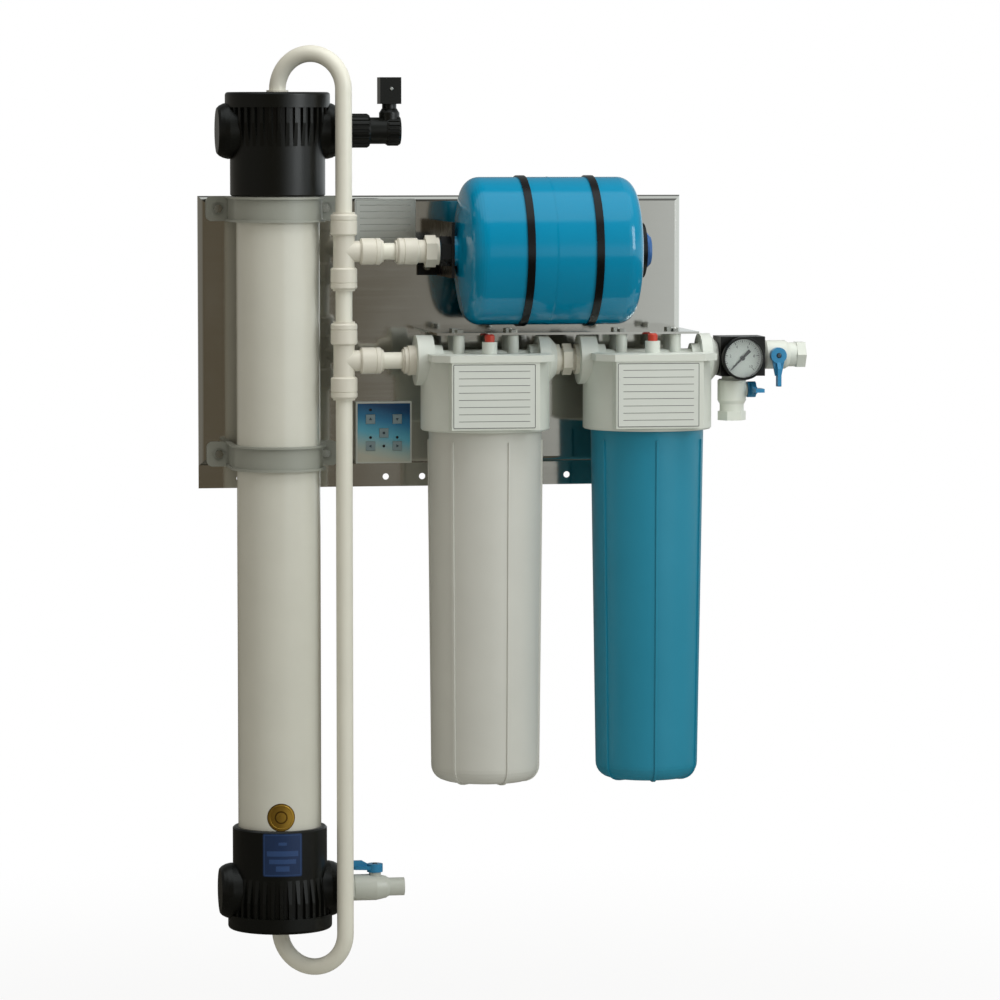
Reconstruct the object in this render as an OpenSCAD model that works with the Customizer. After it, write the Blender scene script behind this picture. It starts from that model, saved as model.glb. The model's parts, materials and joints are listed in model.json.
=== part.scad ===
// Wall-mounted water filtration unit: steel panel, membrane vessel, pressure tank, two cartridge
// housings, push-fit pipework, ball valves, gauge and keypad. Sizes in millimetres.
// X runs right along the wall, Z runs up, Y runs into the wall. The wall is y = 0 and
// z = 0 is the row of wall holes along the foot of the panel.

/* [Panel] */
// Width of the panel
panel_w = 651; // [640:1:690]
// Top edge above the row of wall holes
panel_top = 376; // [370:1:400]
// Lower bend above the row of wall holes
panel_bend = 18; // [14:1:20]
// Bottom edge below the row of wall holes
panel_drop = 13; // [9:1:24]
// Front of the panel from the wall
panel_standoff = 12; // [10:0.5:24]
// Sheet thickness
sheet_t = 1.5; // [1:0.1:2.5]
// Outside radius of the folded edges
edge_r = 8; // [4:0.5:9]
// Spacing of the wall holes
hole_pitch = 49.2; // [42:0.1:52]
// Diameter of the wall holes
hole_d = 8.5; // [5:0.5:12]

/* [Layout] */
// Vessel axis from the left edge of the panel
vessel_inset = 97.5; // [92:0.5:110]
// Vessel axis in front of the panel
vessel_gap = 72; // [70:0.5:90]
// Pipe line to the right of the vessel axis
line_offset = 81; // [80:0.5:95]
// Pipe line, tank and filters in front of the panel
line_gap = 120; // [118:0.5:130]
// Height of the tank branch
upper_z = 305; // [304:0.5:320]
// Height of the filter branch
lower_z = 162; // [150:0.5:163]

/* [Pipework] */
// Outside diameter of the pipes
pipe_d = 22; // [20:0.5:22]
// Wall of the pipes
pipe_wall = 2.5; // [1.5:0.1:3]
// Tee centre to each mouth
tee_half = 49; // [47:0.5:55]
// Diameter of the fitting collars
collar_d = 35; // [32:0.5:36]
// Length of the fitting collars
collar_len = 28; // [24:0.5:29]
// Diameter of the fittings between collars
fitting_d = 28; // [26:0.5:31]
// Visible pipe between tee and tank adapter
tank_stub_gap = 21; // [12:0.5:30]
// Visible pipe between tee and filter adapter
filter_stub_gap = 30; // [20:0.5:40]

/* [Membrane vessel] */
// Outside diameter of the tube
tube_d = 110; // [104:0.5:112]
// Wall of the tube
tube_wall = 5; // [4:0.5:7]
// Gap between the upper clamp and the top collar
head_clear = 1; // [0.5:0.5:8]
// Mid-height to the near edge of each collar
vessel_half = 416.5; // [390:0.5:430]
// Diameter of the collars
head_collar_d = 125; // [121:0.5:130]
// Height of the collars
head_collar_h = 52; // [42:0.5:56]
// Width over the side bosses
drum_d = 160; // [154:0.5:162]
// Height of the ribbed drums
drum_h = 64; // [62:0.5:72]
// Number of ribs on each drum
rib_count = 36; // [30:1:50]
// Depth of the ribs
rib_depth = 4.5; // [2:0.5:5]
// Diameter of the end covers
cover_d = 138; // [136:0.5:146]
// Thickness of the end covers
cover_h = 20; // [14:0.5:24]

/* [Clamps] */
// Height of the vessel clamps
clamp_h = 33; // [24:1:36]
// Thickness of the vessel clamps
clamp_t = 3.5; // [2.5:0.5:5]
// Half width over the clamp ears
clamp_half = 88; // [82:1:90]
// Half spacing of the clamp bolts
clamp_bolt = 71.5; // [70:0.5:73]

/* [Pressure tank] */
// Tank length over the domes
tank_len = 245; // [240:1:270]
// Tank diameter
tank_d = 194; // [170:1:198]
// Knuckle radius of the domes
knuckle_r = 22; // [20:1:40]
// Crown radius of the domes
crown_r = 350; // [200:5:400]
// Shell thickness
tank_wall = 1.5; // [1:0.1:3]
// Width of the straps
strap_w = 10; // [6:0.5:20]
// Thickness of the straps
strap_t = 2; // [1:0.5:3]

/* [Filter housings] */
// Radius of the heads
head_r = 85; // [84:0.5:88]
// Port face from the head axis
port_half = 93; // [92:0.5:98]
// Radius of the port bosses
port_r = 33; // [30:0.5:33]
// Gap between the two heads
head_gap = 31; // [24:0.5:40]
// Skirt below the port axis
skirt_h = 92; // [80:0.5:100]
// Radius of the sump necks
sump_r = 74.5; // [72:0.5:76]
// Wall of the sumps
sump_wall = 5; // [4:0.5:6]
// Sump bottom below the port axis
sump_depth = 556; // [550:1:590]
// Foot radius of the white sump
carbon_foot_r = 70; // [68:0.5:72]
// Foot radius of the blue sump
sediment_foot_r = 67.5; // [67:0.5:72]
// Ribs on each sump
sump_ribs = 6; // [4:1:12]
// Radius of the filter cartridges
cartridge_r = 57; // [48:0.5:57]
// Radial ribs on each head
head_ribs = 16; // [8:1:20]

/* [Brackets] */
// Width of the filter bracket
shelf_w = 350; // [340:1:370]
// Thickness of the filter bracket
shelf_t = 3; // [2:0.5:4]
// Thickness of the tank bracket
plate_t = 4; // [3:0.5:6]

/* [Gauge and manifold] */
// Width of the manifold block
block_w = 60; // [56:0.5:70]
// Height of the manifold block
block_h = 52; // [46:0.5:56]
// Radius of the gauge case
gauge_r = 28.5; // [24:0.5:29]
// Depth of the gauge case
gauge_depth = 18; // [16:0.5:24]

/* [Ball valves] */
// Radius of the valve bodies
valve_r = 19; // [17:0.5:20]
// Radius of the waterway
way_r = 8.5; // [7:0.25:9]
// Radius of the balls
ball_r = 12; // [11.5:0.25:12.5]
// Radius of the stems
stem_r = 3.5; // [2.5:0.25:4]
// Length of the levers from the stem
lever_len = 41; // [34:0.5:42]
// Thickness of the lever blades
blade_t = 5; // [3:0.5:8]

/* [Keypad] */
// Width of the keypad
keypad_w = 75; // [70:0.5:84]
// Height of the keypad
keypad_h = 82; // [78:0.5:90]
// Depth of the keypad
keypad_depth = 12; // [9:0.5:20]
// Side of each key
key_side = 12; // [9:0.5:14]

/* [Fits] */
// Gap between parts that are pushed together
slip = 0.15; // [0.1:0.05:0.25]
// Gap around parts that move
clear = 0.35; // [0.3:0.05:0.5]
// Radial gap of the valve stems
stem_gap = 0.08; // [0.05:0.01:0.1]

/* [Hidden] */
$fn = 64;
panel_y = -panel_standoff;
back_y = panel_y + sheet_t;
vessel_x = -panel_w / 2 + vessel_inset;
vessel_y = panel_y - vessel_gap;
line_x = vessel_x + line_offset;
line_y = panel_y - line_gap;
tube_r = tube_d / 2;
pipe_r = pipe_d / 2;
pipe_in = pipe_r - pipe_wall;
collar_r = collar_d / 2;
fitting_r = fitting_d / 2;
socket_depth = 26;
pipe_push = socket_depth - 0.5;
collet_r = pipe_r + 2.5;
vessel_mid = panel_top + head_clear - vessel_half;
vessel_top = vessel_half + head_collar_h + drum_h + cover_h;
tube_half = vessel_half + head_collar_h + 11;
port_h = vessel_half + head_collar_h + drum_h / 2 + 1.5;
boss_r = drum_h / 2 + 5;
plug_h = 18;
plug_r = 60;
arch_span = sqrt(pow(line_offset, 2) + pow(line_gap - vessel_gap, 2));
arch_turn = -atan2(line_gap - vessel_gap, line_offset);
arch_rise = vessel_top + 3;
lip_h = 3;
lip_out = 3.5;
ear_sink = 1;
clamp_z = [panel_top - clamp_h / 2, panel_bend - 1 + clamp_h / 2];
adapter_x = line_x + tee_half + tank_stub_gap;
adapter_len = 37;
nut_len = 18;
spigot_r = 13;
plate_x = adapter_x + adapter_len + nut_len + 15;
tank_x = plate_x + plate_t + 4;
tank_r = tank_d / 2;
strap_x = [tank_x + tank_len * 0.347, tank_x + tank_len * 0.718];
strap_out = tank_r + slip + strap_t;
crown_a = asin((tank_r - knuckle_r) / (crown_r - knuckle_r));
knuckle_z = crown_r - (crown_r - knuckle_r) * cos(crown_a);
saddle_half = 48;
port_adapter_x = line_x + tee_half + filter_stub_gap;
port_adapter_len = 15;
carbon_x = port_adapter_x + port_adapter_len + port_half;
sediment_x = carbon_x + 2 * port_half + head_gap;
thread_r = 15;
thread_len = 28;
port_depth = 30;
duct_r = 13;
duct_in = 9;
deck = 8;
shelf_z = lower_z + port_r;
shelf_front = line_y - 18;
shelf_x = (carbon_x + sediment_x) / 2;
head_bolts = [[-36, 38], [36, 38], [-36, -8], [36, -8]];
button_y = -38;
button_top = 35;
boss_top = 25;
button_travel = 3;
chamber_top = -22;
neck_top = chamber_top - 3;
sump_floor = -sump_depth + 6;
cartridge_top = chamber_top - 6.5;
cartridge_bottom = sump_floor + 13.5;
block_x = sediment_x + port_half + 1;
block_half = 25;
block_low = lower_z - 23;
gauge_x = block_x + block_w / 2 - 2;
gauge_z = lower_z + 1;
valve_left = 17.5;
valve_right = 40.5;
male_r = 12;
male_len = 14;
bonnet_h = 20;
hub_base = bonnet_h + 0.6;
hub_r = 10.5;
hub_h = 10.8;
arm_low = 3.2;
arm_top = 15.4;
inlet_x = block_x + block_w + valve_left;
inlet_z = lower_z + 4;
bleed_x = block_x + block_w / 2 - 9.5;
bleed_z = block_low - valve_left - 1.5;
port_reach = 88;
nut_show = 10;
drain_left = 29;
drain_x = vessel_x + port_reach + nut_show + drain_left;
drain_z = vessel_mid - port_h;
solenoid_x = vessel_x + port_reach;
solenoid_z = vessel_mid + port_h;
keypad_x = line_x + 67.5;
keypad_z = panel_bend + 1.5 + keypad_h / 2;
key_at = [[-18, 18], [18, 18], [0, -0.5], [-18, -18], [18, -18]];
key_proud = 0.6;
key_thick = 3.6;
overlay_t = 0.8;
bolt_r = 3;

function arc(c, r, a0, a1, n) =
    [for (i = [0:n]) c + r * [cos(a0 + (a1 - a0) * i / n), sin(a0 + (a1 - a0) * i / n)]];

// Round bar along X
module rod_x(r, x0, x1) {
    translate([x0, 0, 0]) rotate([0, 90, 0]) cylinder(r = r, h = x1 - x0);
}

// Round bar towards the viewer, from d0 to d1 in front of the origin
module rod_front(r, d0, d1) {
    translate([0, -d0, 0]) rotate([90, 0, 0]) cylinder(r = r, h = d1 - d0);
}

// Six-sided bar along X, measured across its flats
module hex_x(flats, x0, x1) {
    translate([x0, 0, 0]) rotate([0, 90, 0]) cylinder(r = flats / sqrt(3), h = x1 - x0, $fn = 6);
}

module ring(r_out, r_in, z0, z1) {
    translate([0, 0, z0]) difference() {
        cylinder(r = r_out, h = z1 - z0);
        translate([0, 0, -1]) cylinder(r = r_in, h = z1 - z0 + 2);
    }
}

module at_line(z) {
    translate([line_x, line_y, z]) children();
}

module at_vessel() {
    translate([vessel_x, vessel_y, vessel_mid]) children();
}

module at_carbon() {
    translate([carbon_x, line_y, lower_z]) children();
}

module at_sediment() {
    translate([sediment_x, line_y, lower_z]) children();
}

module both_ends() {
    children();
    mirror([0, 0, 1]) children();
}

// Outline of the folded panel: flat with rounded front corners, depth along y
module front_rounded(width, depth, r) {
    translate([-width / 2 + r, 0]) square([width - 2 * r, depth]);
    translate([-width / 2, r]) square([width, depth - r]);
    for (s = [-1, 1])
        translate([s * (width / 2 - r), r]) intersection() {
            circle(r);
            translate([-r, -r]) square([2 * r, r]);
        }
}

module tray_block(inset, back) {
    height = panel_top - panel_bend;
    intersection() {
        translate([0, panel_y + inset, panel_bend])
            linear_extrude(height)
                front_rounded(panel_w - 2 * inset, panel_standoff - inset + back, edge_r - inset);
        translate([-panel_w / 2, panel_y + inset, panel_bend + height / 2]) rotate([0, 90, 0])
            linear_extrude(panel_w)
                front_rounded(height - 2 * inset, panel_standoff - inset + back, edge_r - inset);
    }
}

// Bolts through the panel: x, z and the thickness clamped in front of the sheet
panel_bolts = concat(
    [for (z = clamp_z, s = [-1, 1]) [vessel_x + s * clamp_bolt, z, clamp_t - ear_sink]],
    [for (x = [carbon_x, sediment_x], s = [-50, 50]) [x + s, lower_z + 4, shelf_t]],
    [for (dz = [-23, 1]) [plate_x - 13, upper_z + dz, plate_t]]);

module back_panel() color("#a4aba9") {
    difference() {
        union() {
            difference() {
                tray_block(0, 0);
                tray_block(sheet_t, 1);
            }
            translate([-panel_w / 2, -sheet_t, -panel_drop])
                cube([panel_w, sheet_t, panel_bend + panel_drop + sheet_t]);
        }
        for (i = [-5.5:1:5.5])
            translate([i * hole_pitch, 0, 0]) rod_front(hole_d / 2, -1, sheet_t + 1);
        for (b = panel_bolts)
            translate([b[0], 0, b[1]]) rod_front(bolt_r + 0.3, 0, panel_standoff + 1);
        for (x = strap_x, s = [-1, 1])
            translate([x, 0, upper_z + s * 30]) rod_front(2.8, 0, panel_standoff + 1);
    }
}

module filter_bracket() color("#b9bcb6") {
    difference() {
        union() {
            translate([shelf_x - shelf_w / 2, shelf_front, shelf_z])
                cube([shelf_w, panel_y - shelf_front, shelf_t]);
            translate([shelf_x - shelf_w / 2, panel_y - shelf_t, shelf_z - 55])
                cube([shelf_w, shelf_t, 56]);
        }
        for (x = [carbon_x, sediment_x]) {
            for (s = [-50, 50])
                translate([x + s, 0, lower_z + 4]) rod_front(bolt_r + 0.3, 0, panel_standoff + 9);
            for (p = head_bolts)
                translate([x + p[0], line_y + p[1], shelf_z - 1])
                    cylinder(r = bolt_r + 0.3, h = shelf_t + 2);
        }
    }
}

// Hex bolt along Z, head on top of z = 0
module bolt(len) {
    cylinder(r = 5.8, h = 4, $fn = 6);
    translate([0, 0, -len]) cylinder(r = bolt_r, h = len + 1);
}

module screws() color("#c0c2bd") {
    for (b = panel_bolts) {
        translate([b[0], panel_y - b[2], b[1]]) rotate([90, 0, 0]) bolt(b[2] + sheet_t + 6);
        translate([b[0], back_y + 4.5, b[1]]) rotate([90, 0, 0]) difference() {
            cylinder(r = 5.8, h = 4.5, $fn = 6);
            translate([0, 0, -1]) cylinder(r = bolt_r + slip, h = 7);
        }
    }
    for (x = [carbon_x, sediment_x], p = head_bolts)
        translate([x + p[0], line_y + p[1], shelf_z + shelf_t]) bolt(shelf_t + 18);
    for (x = strap_x, s = [-1, 1])
        translate([x, back_y, upper_z + s * 30]) {
            rotate([-90, 0, 0]) cylinder(r = 5, h = 3);
            rod_front(2.5, -1, sheet_t + 12);
        }
}

// Cut for a push-fit mouth at z = 0, pipe going down
module socket_cut() {
    translate([0, 0, -12]) cylinder(r = collet_r + slip, h = 13);
    translate([0, 0, -socket_depth]) cylinder(r = pipe_r + slip, h = socket_depth);
}

// Every push-fit mouth: place, then tilt about X and Y
mouths = [
    [[line_x, line_y, upper_z + tee_half], [0, 0, 0]],
    [[line_x, line_y, upper_z - tee_half], [180, 0, 0]],
    [[line_x + tee_half, line_y, upper_z], [0, 90, 0]],
    [[line_x, line_y, lower_z + tee_half], [0, 0, 0]],
    [[line_x, line_y, lower_z - tee_half], [180, 0, 0]],
    [[line_x + tee_half, line_y, lower_z], [0, 90, 0]],
    [[adapter_x, line_y, upper_z], [0, -90, 0]],
    [[port_adapter_x, line_y, lower_z], [0, -90, 0]],
    [[vessel_x, vessel_y, vessel_mid + vessel_top], [0, 0, 0]],
    [[vessel_x, vessel_y, vessel_mid - vessel_top], [180, 0, 0]]];

module pipe_collets() color("#d2cfc0") {
    for (m = mouths)
        translate(m[0]) rotate(m[1]) {
            difference() {
                union() {
                    translate([0, 0, -5]) cylinder(r = collet_r, h = 6);
                    cylinder(r = collet_r + 1, h = 2.5);
                }
                translate([0, 0, -6]) cylinder(r = pipe_r + slip, h = 10);
            }
        }
}

module o_rings() color("#161616") {
    for (m = mouths)
        translate(m[0]) rotate(m[1]) ring(collet_r, pipe_r + slip, -11, -8);
    at_carbon() ring(sump_r - 0.5, sump_r - 4.5, neck_top + clear, chamber_top);
    at_sediment() ring(sump_r - 0.5, sump_r - 4.5, neck_top + clear, chamber_top);
    at_vessel() both_ends()
        ring(plug_r - slip, plug_r - 2.5, vessel_top - cover_h - 11, vessel_top - cover_h - 7);
}

module tee() {
    difference() {
        union() {
            translate([0, 0, -tee_half]) cylinder(r = fitting_r, h = 2 * tee_half);
            rod_x(fitting_r, 0, tee_half);
            for (s = [0, 180])
                rotate([s, 0, 0]) translate([0, 0, tee_half - collar_len])
                    fitting_collar();
            translate([tee_half - collar_len, 0, 0]) rotate([0, 90, 0]) fitting_collar();
        }
        for (a = [[0, 0, 0], [180, 0, 0], [0, 90, 0]])
            rotate(a) translate([0, 0, tee_half]) socket_cut();
        translate([0, 0, -tee_half + 2]) cylinder(r = pipe_in, h = 2 * tee_half - 4);
        rod_x(pipe_in, 0, tee_half - 2);
    }
}

// Collar with a softened inner shoulder and mouth
module fitting_collar() {
    e = collar_len;
    rotate_extrude() polygon([[0, 0], [collar_r - 2, 0], [collar_r, 2], [collar_r, e - 9], [collar_r - 0.8, e - 8.6],
        [collar_r - 0.8, e - 7.6], [collar_r, e - 7.2], [collar_r, e - 2], [collar_r - 1.5, e], [0, e]]);
}

module upper_tee() color("#d9d6c8") at_line(upper_z) tee();

module lower_tee() color("#d9d6c8") at_line(lower_z) tee();

// Half turn over the vessel end, then straight legs down to z0 and z1
module bow(z_mid, z0, z1) {
    translate([vessel_x, vessel_y, 0]) rotate([0, 0, arch_turn]) {
        translate([arch_span / 2, 0, z_mid]) rotate([90, 0, 0]) rotate_extrude(angle = 180)
            translate([arch_span / 2, 0]) difference() {
                circle(pipe_r);
                circle(pipe_in);
            }
        ring(pipe_r, pipe_in, z0, z_mid);
        translate([arch_span, 0, 0]) ring(pipe_r, pipe_in, z1, z_mid);
    }
}

module arch_pipe() color("#d9d6c8") {
    bow(vessel_mid + arch_rise, vessel_mid + vessel_top - pipe_push, upper_z + tee_half - pipe_push);
}

module riser_pipe() color("#d9d6c8") {
    mirror([0, 0, 1])
        bow(arch_rise - vessel_mid, vessel_top - vessel_mid - pipe_push,
            tee_half - lower_z - pipe_push);
}

module link_pipes() color("#d9d6c8") {
    at_line(0) ring(pipe_r, pipe_in, lower_z + tee_half - pipe_push, upper_z - tee_half + pipe_push);
    translate([line_x, line_y, upper_z]) rotate([0, 90, 0])
        ring(pipe_r, pipe_in, tee_half - pipe_push, tee_half + tank_stub_gap + pipe_push);
    translate([line_x, line_y, lower_z]) rotate([0, 90, 0])
        ring(pipe_r, pipe_in, tee_half - pipe_push, tee_half + filter_stub_gap + pipe_push);
}

module tank_adapter() color("#d9d6c8") {
    translate([adapter_x, line_y, upper_z]) difference() {
        union() {
            translate([collar_len, 0, 0]) rotate([0, -90, 0]) fitting_collar();
            rod_x(fitting_r + 1, collar_len - 1, adapter_len);
            rod_x(spigot_r, adapter_len - 1, adapter_len + 9);
        }
        rotate([0, -90, 0]) socket_cut();
        rod_x(pipe_in, 2, adapter_len + 10);
    }
}

module tank_union_nut() color("#dfddd2") {
    translate([adapter_x + adapter_len, line_y, upper_z]) difference() {
        union() {
            hex_x(36.4, 0, nut_len - 4);
            rod_x(18, nut_len - 5, nut_len);
        }
        rod_x(spigot_r + slip, -1, nut_len + 1);
    }
}

module filter_port_adapter() color("#d9d6c8") {
    translate([port_adapter_x, line_y, lower_z]) difference() {
        union() {
            rod_x(collar_r, 0, 6);
            rod_x(collar_r + 2, 5, port_adapter_len);
            rod_x(thread_r, port_adapter_len - 1, port_adapter_len + thread_len);
        }
        rotate([0, -90, 0]) socket_cut();
        rod_x(pipe_in, 2, port_adapter_len + thread_len + 1);
    }
}

module vessel_tube() color("#d3d3c8") {
    at_vessel() ring(tube_r, tube_r - tube_wall, -tube_half, tube_half);
}

module rib_outline() {
    step = 360 / rib_count;
    r0 = head_collar_d / 2 - 1.5;
    r1 = head_collar_d / 2 + rib_depth + 1;
    polygon([for (i = [0:rib_count - 1], p = [[r0, 0.2], [r1, 0.35], [r1, 0.65], [r0, 0.8]])
        p[0] * [cos((i + p[1]) * step), sin((i + p[1]) * step)]]);
}

// Round side boss along X with a softened end
module side_boss() {
    e = drum_d / 2;
    rotate([0, 90, 0]) rotate_extrude() polygon([[0, 0], [boss_r, 0], [boss_r, e - 14],
        [boss_r - 1.5, e - 8], [boss_r - 4, e - 3], [boss_r - 7, e], [0, e]]);
}

// Ribbed end head about the vessel's axis, z from mid-height
module end_head() {
    z0 = vessel_half;
    z2 = z0 + head_collar_h + drum_h;
    cr = head_collar_d / 2;
    difference() {
        union() {
            rotate_extrude()
                polygon([[0, z0], [cr - 2, z0], [cr, z0 + 2], [cr, z2], [0, z2]]);
            intersection() {
                translate([0, 0, z2 - 60]) linear_extrude(60) rib_outline();
                rotate_extrude() polygon([[0, z2 - 56], [cr - 0.8, z2 - 56], [cr + rib_depth, z2 - 20],
                    [cr + rib_depth, z2], [0, z2]]);
            }
            for (turn = [0, 180])
                translate([0, 0, port_h]) rotate([0, 0, turn]) side_boss();
            translate([0, 0, port_h]) rod_x(17, 60, port_reach);
        }
        translate([0, 0, z2]) cylinder(r = cover_d / 2 + slip, h = boss_r);
        translate([0, 0, z0 - 1]) cylinder(r = tube_r + slip, h = tube_half - z0 + 1 + slip);
        translate([0, 0, z0]) cylinder(r = tube_r - tube_wall, h = z2 - z0 - plug_h + 1);
        translate([0, 0, z2 - plug_h - slip]) cylinder(r = plug_r + slip, h = plug_h + 1);
        translate([0, 0, port_h - 2]) rod_x(way_r, 30, port_reach);
        translate([0, 0, port_h]) rod_x(male_r + slip, port_reach - male_len - 1, port_reach + 1);
    }
}

module top_head() color("#161713") at_vessel() end_head();

module bottom_head() color("#161713") at_vessel() mirror([0, 0, 1]) end_head();

module end_covers() color("#161713") {
    z = vessel_top - cover_h;
    r = cover_d / 2;
    at_vessel() both_ends() difference() {
        union() {
            translate([0, 0, z]) rotate_extrude()
                polygon(concat([[0, 0], [r, 0]], arc([r - 4, cover_h - 4], 4, 0, 90, 5), [[0, cover_h]]));
            translate([0, 0, z - plug_h]) cylinder(r = plug_r, h = plug_h + 1);
            translate([0, 0, vessel_top - 1]) cylinder(r = collar_r + 1, h = 1);
        }
        ring(plug_r + 1, plug_r - 2.6, z - 11.2, z - 6.8);
        translate([0, 0, vessel_top]) socket_cut();
        translate([0, 0, z - plug_h - 1]) cylinder(r = pipe_in, h = plug_h + cover_h);
    }
}

module membrane_element() color("#e6e3d6") {
    r = tube_r - tube_wall;
    at_vessel() {
        cylinder(r = r - 3, h = 2 * vessel_half, center = true);
        both_ends() translate([0, 0, vessel_half - 1]) cylinder(r = r - slip, h = 36);
    }
}

module at_clamps() {
    for (z = clamp_z)
        translate([vessel_x, vessel_y, z - clamp_h / 2]) children();
}

// Face of a clamp's ears, corners rounded, from its lower edge
module ear_face() {
    c = 8;
    translate([c - clamp_half, 0]) square([2 * (clamp_half - c), clamp_h]);
    translate([-clamp_half, c]) square([2 * clamp_half, clamp_h - 2 * c]);
    for (x = [c - clamp_half, clamp_half - c], z = [c, clamp_h - c])
        translate([x, z]) circle(c);
}

// Plan of the band round the tube and back to the panel
module band_plan(r) {
    circle(r);
    translate([-r, 0]) square([2 * r, vessel_gap]);
}

module vessel_clamps() color("#8f948f") {
    r0 = tube_r + 0.3;
    r1 = r0 + clamp_t;
    at_clamps() difference() {
        union() {
            linear_extrude(clamp_h) band_plan(r1);
            for (z = [0, clamp_h - lip_h])
                translate([0, 0, z]) linear_extrude(lip_h) band_plan(r1 + lip_out);
            translate([0, vessel_gap, 0]) rotate([90, 0, 0]) linear_extrude(clamp_t) ear_face();
        }
        translate([0, 0, -1]) linear_extrude(clamp_h + 2) {
            circle(r0);
            translate([-r0, 0]) square([2 * r0, vessel_gap + 1]);
        }
        for (s = [-1, 1])
            translate([s * clamp_bolt, vessel_gap, clamp_h / 2]) {
                rod_front(bolt_r + 0.3, -1, clamp_t + 1);
                rod_front(8.5, clamp_t - ear_sink, clamp_t + 1);
            }
    }
}

module vessel_saddles() color("#70746f") {
    half = tube_r - 13;
    at_clamps() linear_extrude(clamp_h) difference() {
        translate([-half, tube_r - 21]) square([2 * half, vessel_gap - tube_r + 21]);
        circle(tube_r + slip);
    }
}

// Ribbed union nut along X
module ribbed_nut(r, x0, x1) {
    intersection() {
        translate([x0, 0, 0]) rotate([0, 90, 0]) linear_extrude(x1 - x0) polygon(
            [for (i = [0:19], p = [[r - 1.5, 0.2], [r + 1, 0.42], [r + 1, 0.68], [r - 1.5, 0.9]])
                p[0] * [cos((i + p[1]) * 18), sin((i + p[1]) * 18)]]);
        translate([x0, 0, 0]) rotate([0, 90, 0]) rotate_extrude()
            polygon([[0, 0], [r - 2, 0], [r, 3], [r, x1 - x0 - 3], [r - 2, x1 - x0], [0, x1 - x0]]);
    }
}

coil_x = 60;

module solenoid_valve_body() color("#1a1b18") {
    translate([solenoid_x, vessel_y, solenoid_z]) difference() {
        union() {
            rod_x(male_r, -male_len, 2);
            ribbed_nut(22.5, 0.5, 33);
            rod_x(17.5, 31, 66);
            ribbed_nut(20, 55, 74);
            translate([coil_x, 0, 0]) cylinder(r = 13.5, h = 24);
            translate([coil_x, 0, 23]) cylinder(r1 = 13.5, r2 = 10, h = 6);
            translate([coil_x, 0, 28]) cylinder(r = 9.5, h = 7);
            translate([coil_x, 0, 30]) cylinder(r = 6, h = 30);
        }
        rod_x(way_r, -male_len - 1, 66);
        rod_x(10, 58, 75);
    }
}

module solenoid_coil() color("#1f201d") {
    translate([solenoid_x + coil_x, vessel_y, solenoid_z + 35]) difference() {
        translate([-14, -15, 0]) cube([28, 30, 35]);
        translate([0, 0, -1]) cylinder(r = 6 + slip, h = 27);
        translate([1, 0, 20]) rod_front(2, 8, 20);
    }
}

function tank_outline(off) = let (rk = knuckle_r - off, k = [tank_r - knuckle_r, knuckle_z], a = crown_a)
    concat(arc([0, crown_r], crown_r - off, -90, -91 + a, 5), arc(k, rk, -90 + a, 0, 8),
        arc([k[0], tank_len - k[1]], rk, 0, 90 - a, 8),
        arc([0, tank_len - crown_r], crown_r - off, 91 - a, 90, 5));

module at_tank() {
    translate([tank_x, line_y, upper_z]) children();
}

module tank_solid(off) {
    rotate([0, 90, 0]) rotate_extrude() polygon(tank_outline(off));
}

module tank_shell() color("#0a86b0") {
    at_tank() difference() {
        union() {
            tank_solid(0);
            rod_x(20, -4, 5);
            rod_x(spigot_r, -4 - plate_t - 15 - 8, -3);
            translate([tank_len * 0.485, 0, 0]) rotate([0, 90, 0])
                cylinder(r1 = tank_r, r2 = tank_r + 0.4, h = 2.5);
        }
        tank_solid(tank_wall);
        rod_x(pipe_in, -40, 10);
        rod_x(4 + slip, tank_len - 10, tank_len + 5);
    }
}

module tank_diaphragm() color("#2b2a28") {
    r = tank_r - tank_wall - slip;
    at_tank() translate([tank_len * 0.48, 0, 0]) rotate([0, 90, 0]) rotate_extrude()
        polygon([[0, 18], [r * 0.6, 12], [r - 3, -6], [r, -6], [r, 0], [r - 2, 0], [r * 0.62, 15], [0, 21]]);
}

module tank_air_valve() color("#171815") {
    at_tank() {
        difference() {
            rod_x(36, tank_len - 4, tank_len + 5);
            tank_solid(0);
        }
        rod_x(4, tank_len - 8, tank_len + 10);
    }
}

module tank_cap() color("#1c6f9a") {
    at_tank() difference() {
        translate([tank_len + 5, 0, 0]) rotate([0, 90, 0]) rotate_extrude()
            polygon([[0, 0], [23, 0], [23, 5], [19, 9], [0, 10]]);
        rod_x(4 + slip, tank_len, tank_len + 12);
    }
}

module tank_bracket() color("#171815") {
    difference() {
        union() {
            translate([plate_x, line_y - 18, upper_z - 35])
                cube([plate_t, panel_y - line_y + 18, 73]);
            translate([plate_x - 26, panel_y - plate_t, upper_z - 35])
                cube([26 + 1, plate_t, 48]);
        }
        translate([plate_x, line_y, upper_z]) rod_x(spigot_r + slip, -1, plate_t + 1);
        for (dz = [-23, 1])
            translate([plate_x - 13, 0, upper_z + dz]) rod_front(bolt_r + 0.3, 0, panel_standoff + 9);
    }
    translate([plate_x - slip, line_y, upper_z]) difference() {
        hex_x(34, -13.5, 0);
        rod_x(spigot_r + slip, -15, 1);
    }
}

module tank_straps() color("#171815") {
    for (x = strap_x)
        translate([x, line_y, upper_z]) rotate([0, 90, 0])
            ring(strap_out, tank_r + slip, -strap_w / 2, strap_w / 2);
}

module tank_saddles() color("#232420") {
    depth = line_gap - sqrt(pow(strap_out, 2) - pow(saddle_half, 2)) + 1;
    for (x = strap_x)
        difference() {
            translate([x - 13, panel_y - depth, upper_z - saddle_half])
                cube([26, depth, 2 * saddle_half]);
            translate([x, line_y, upper_z]) rod_x(strap_out + slip, -14, 14);
            for (s = [-1, 1])
                translate([x, panel_y, upper_z + s * 30]) rod_front(2.5 + slip, -1, 12);
        }
}

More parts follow.
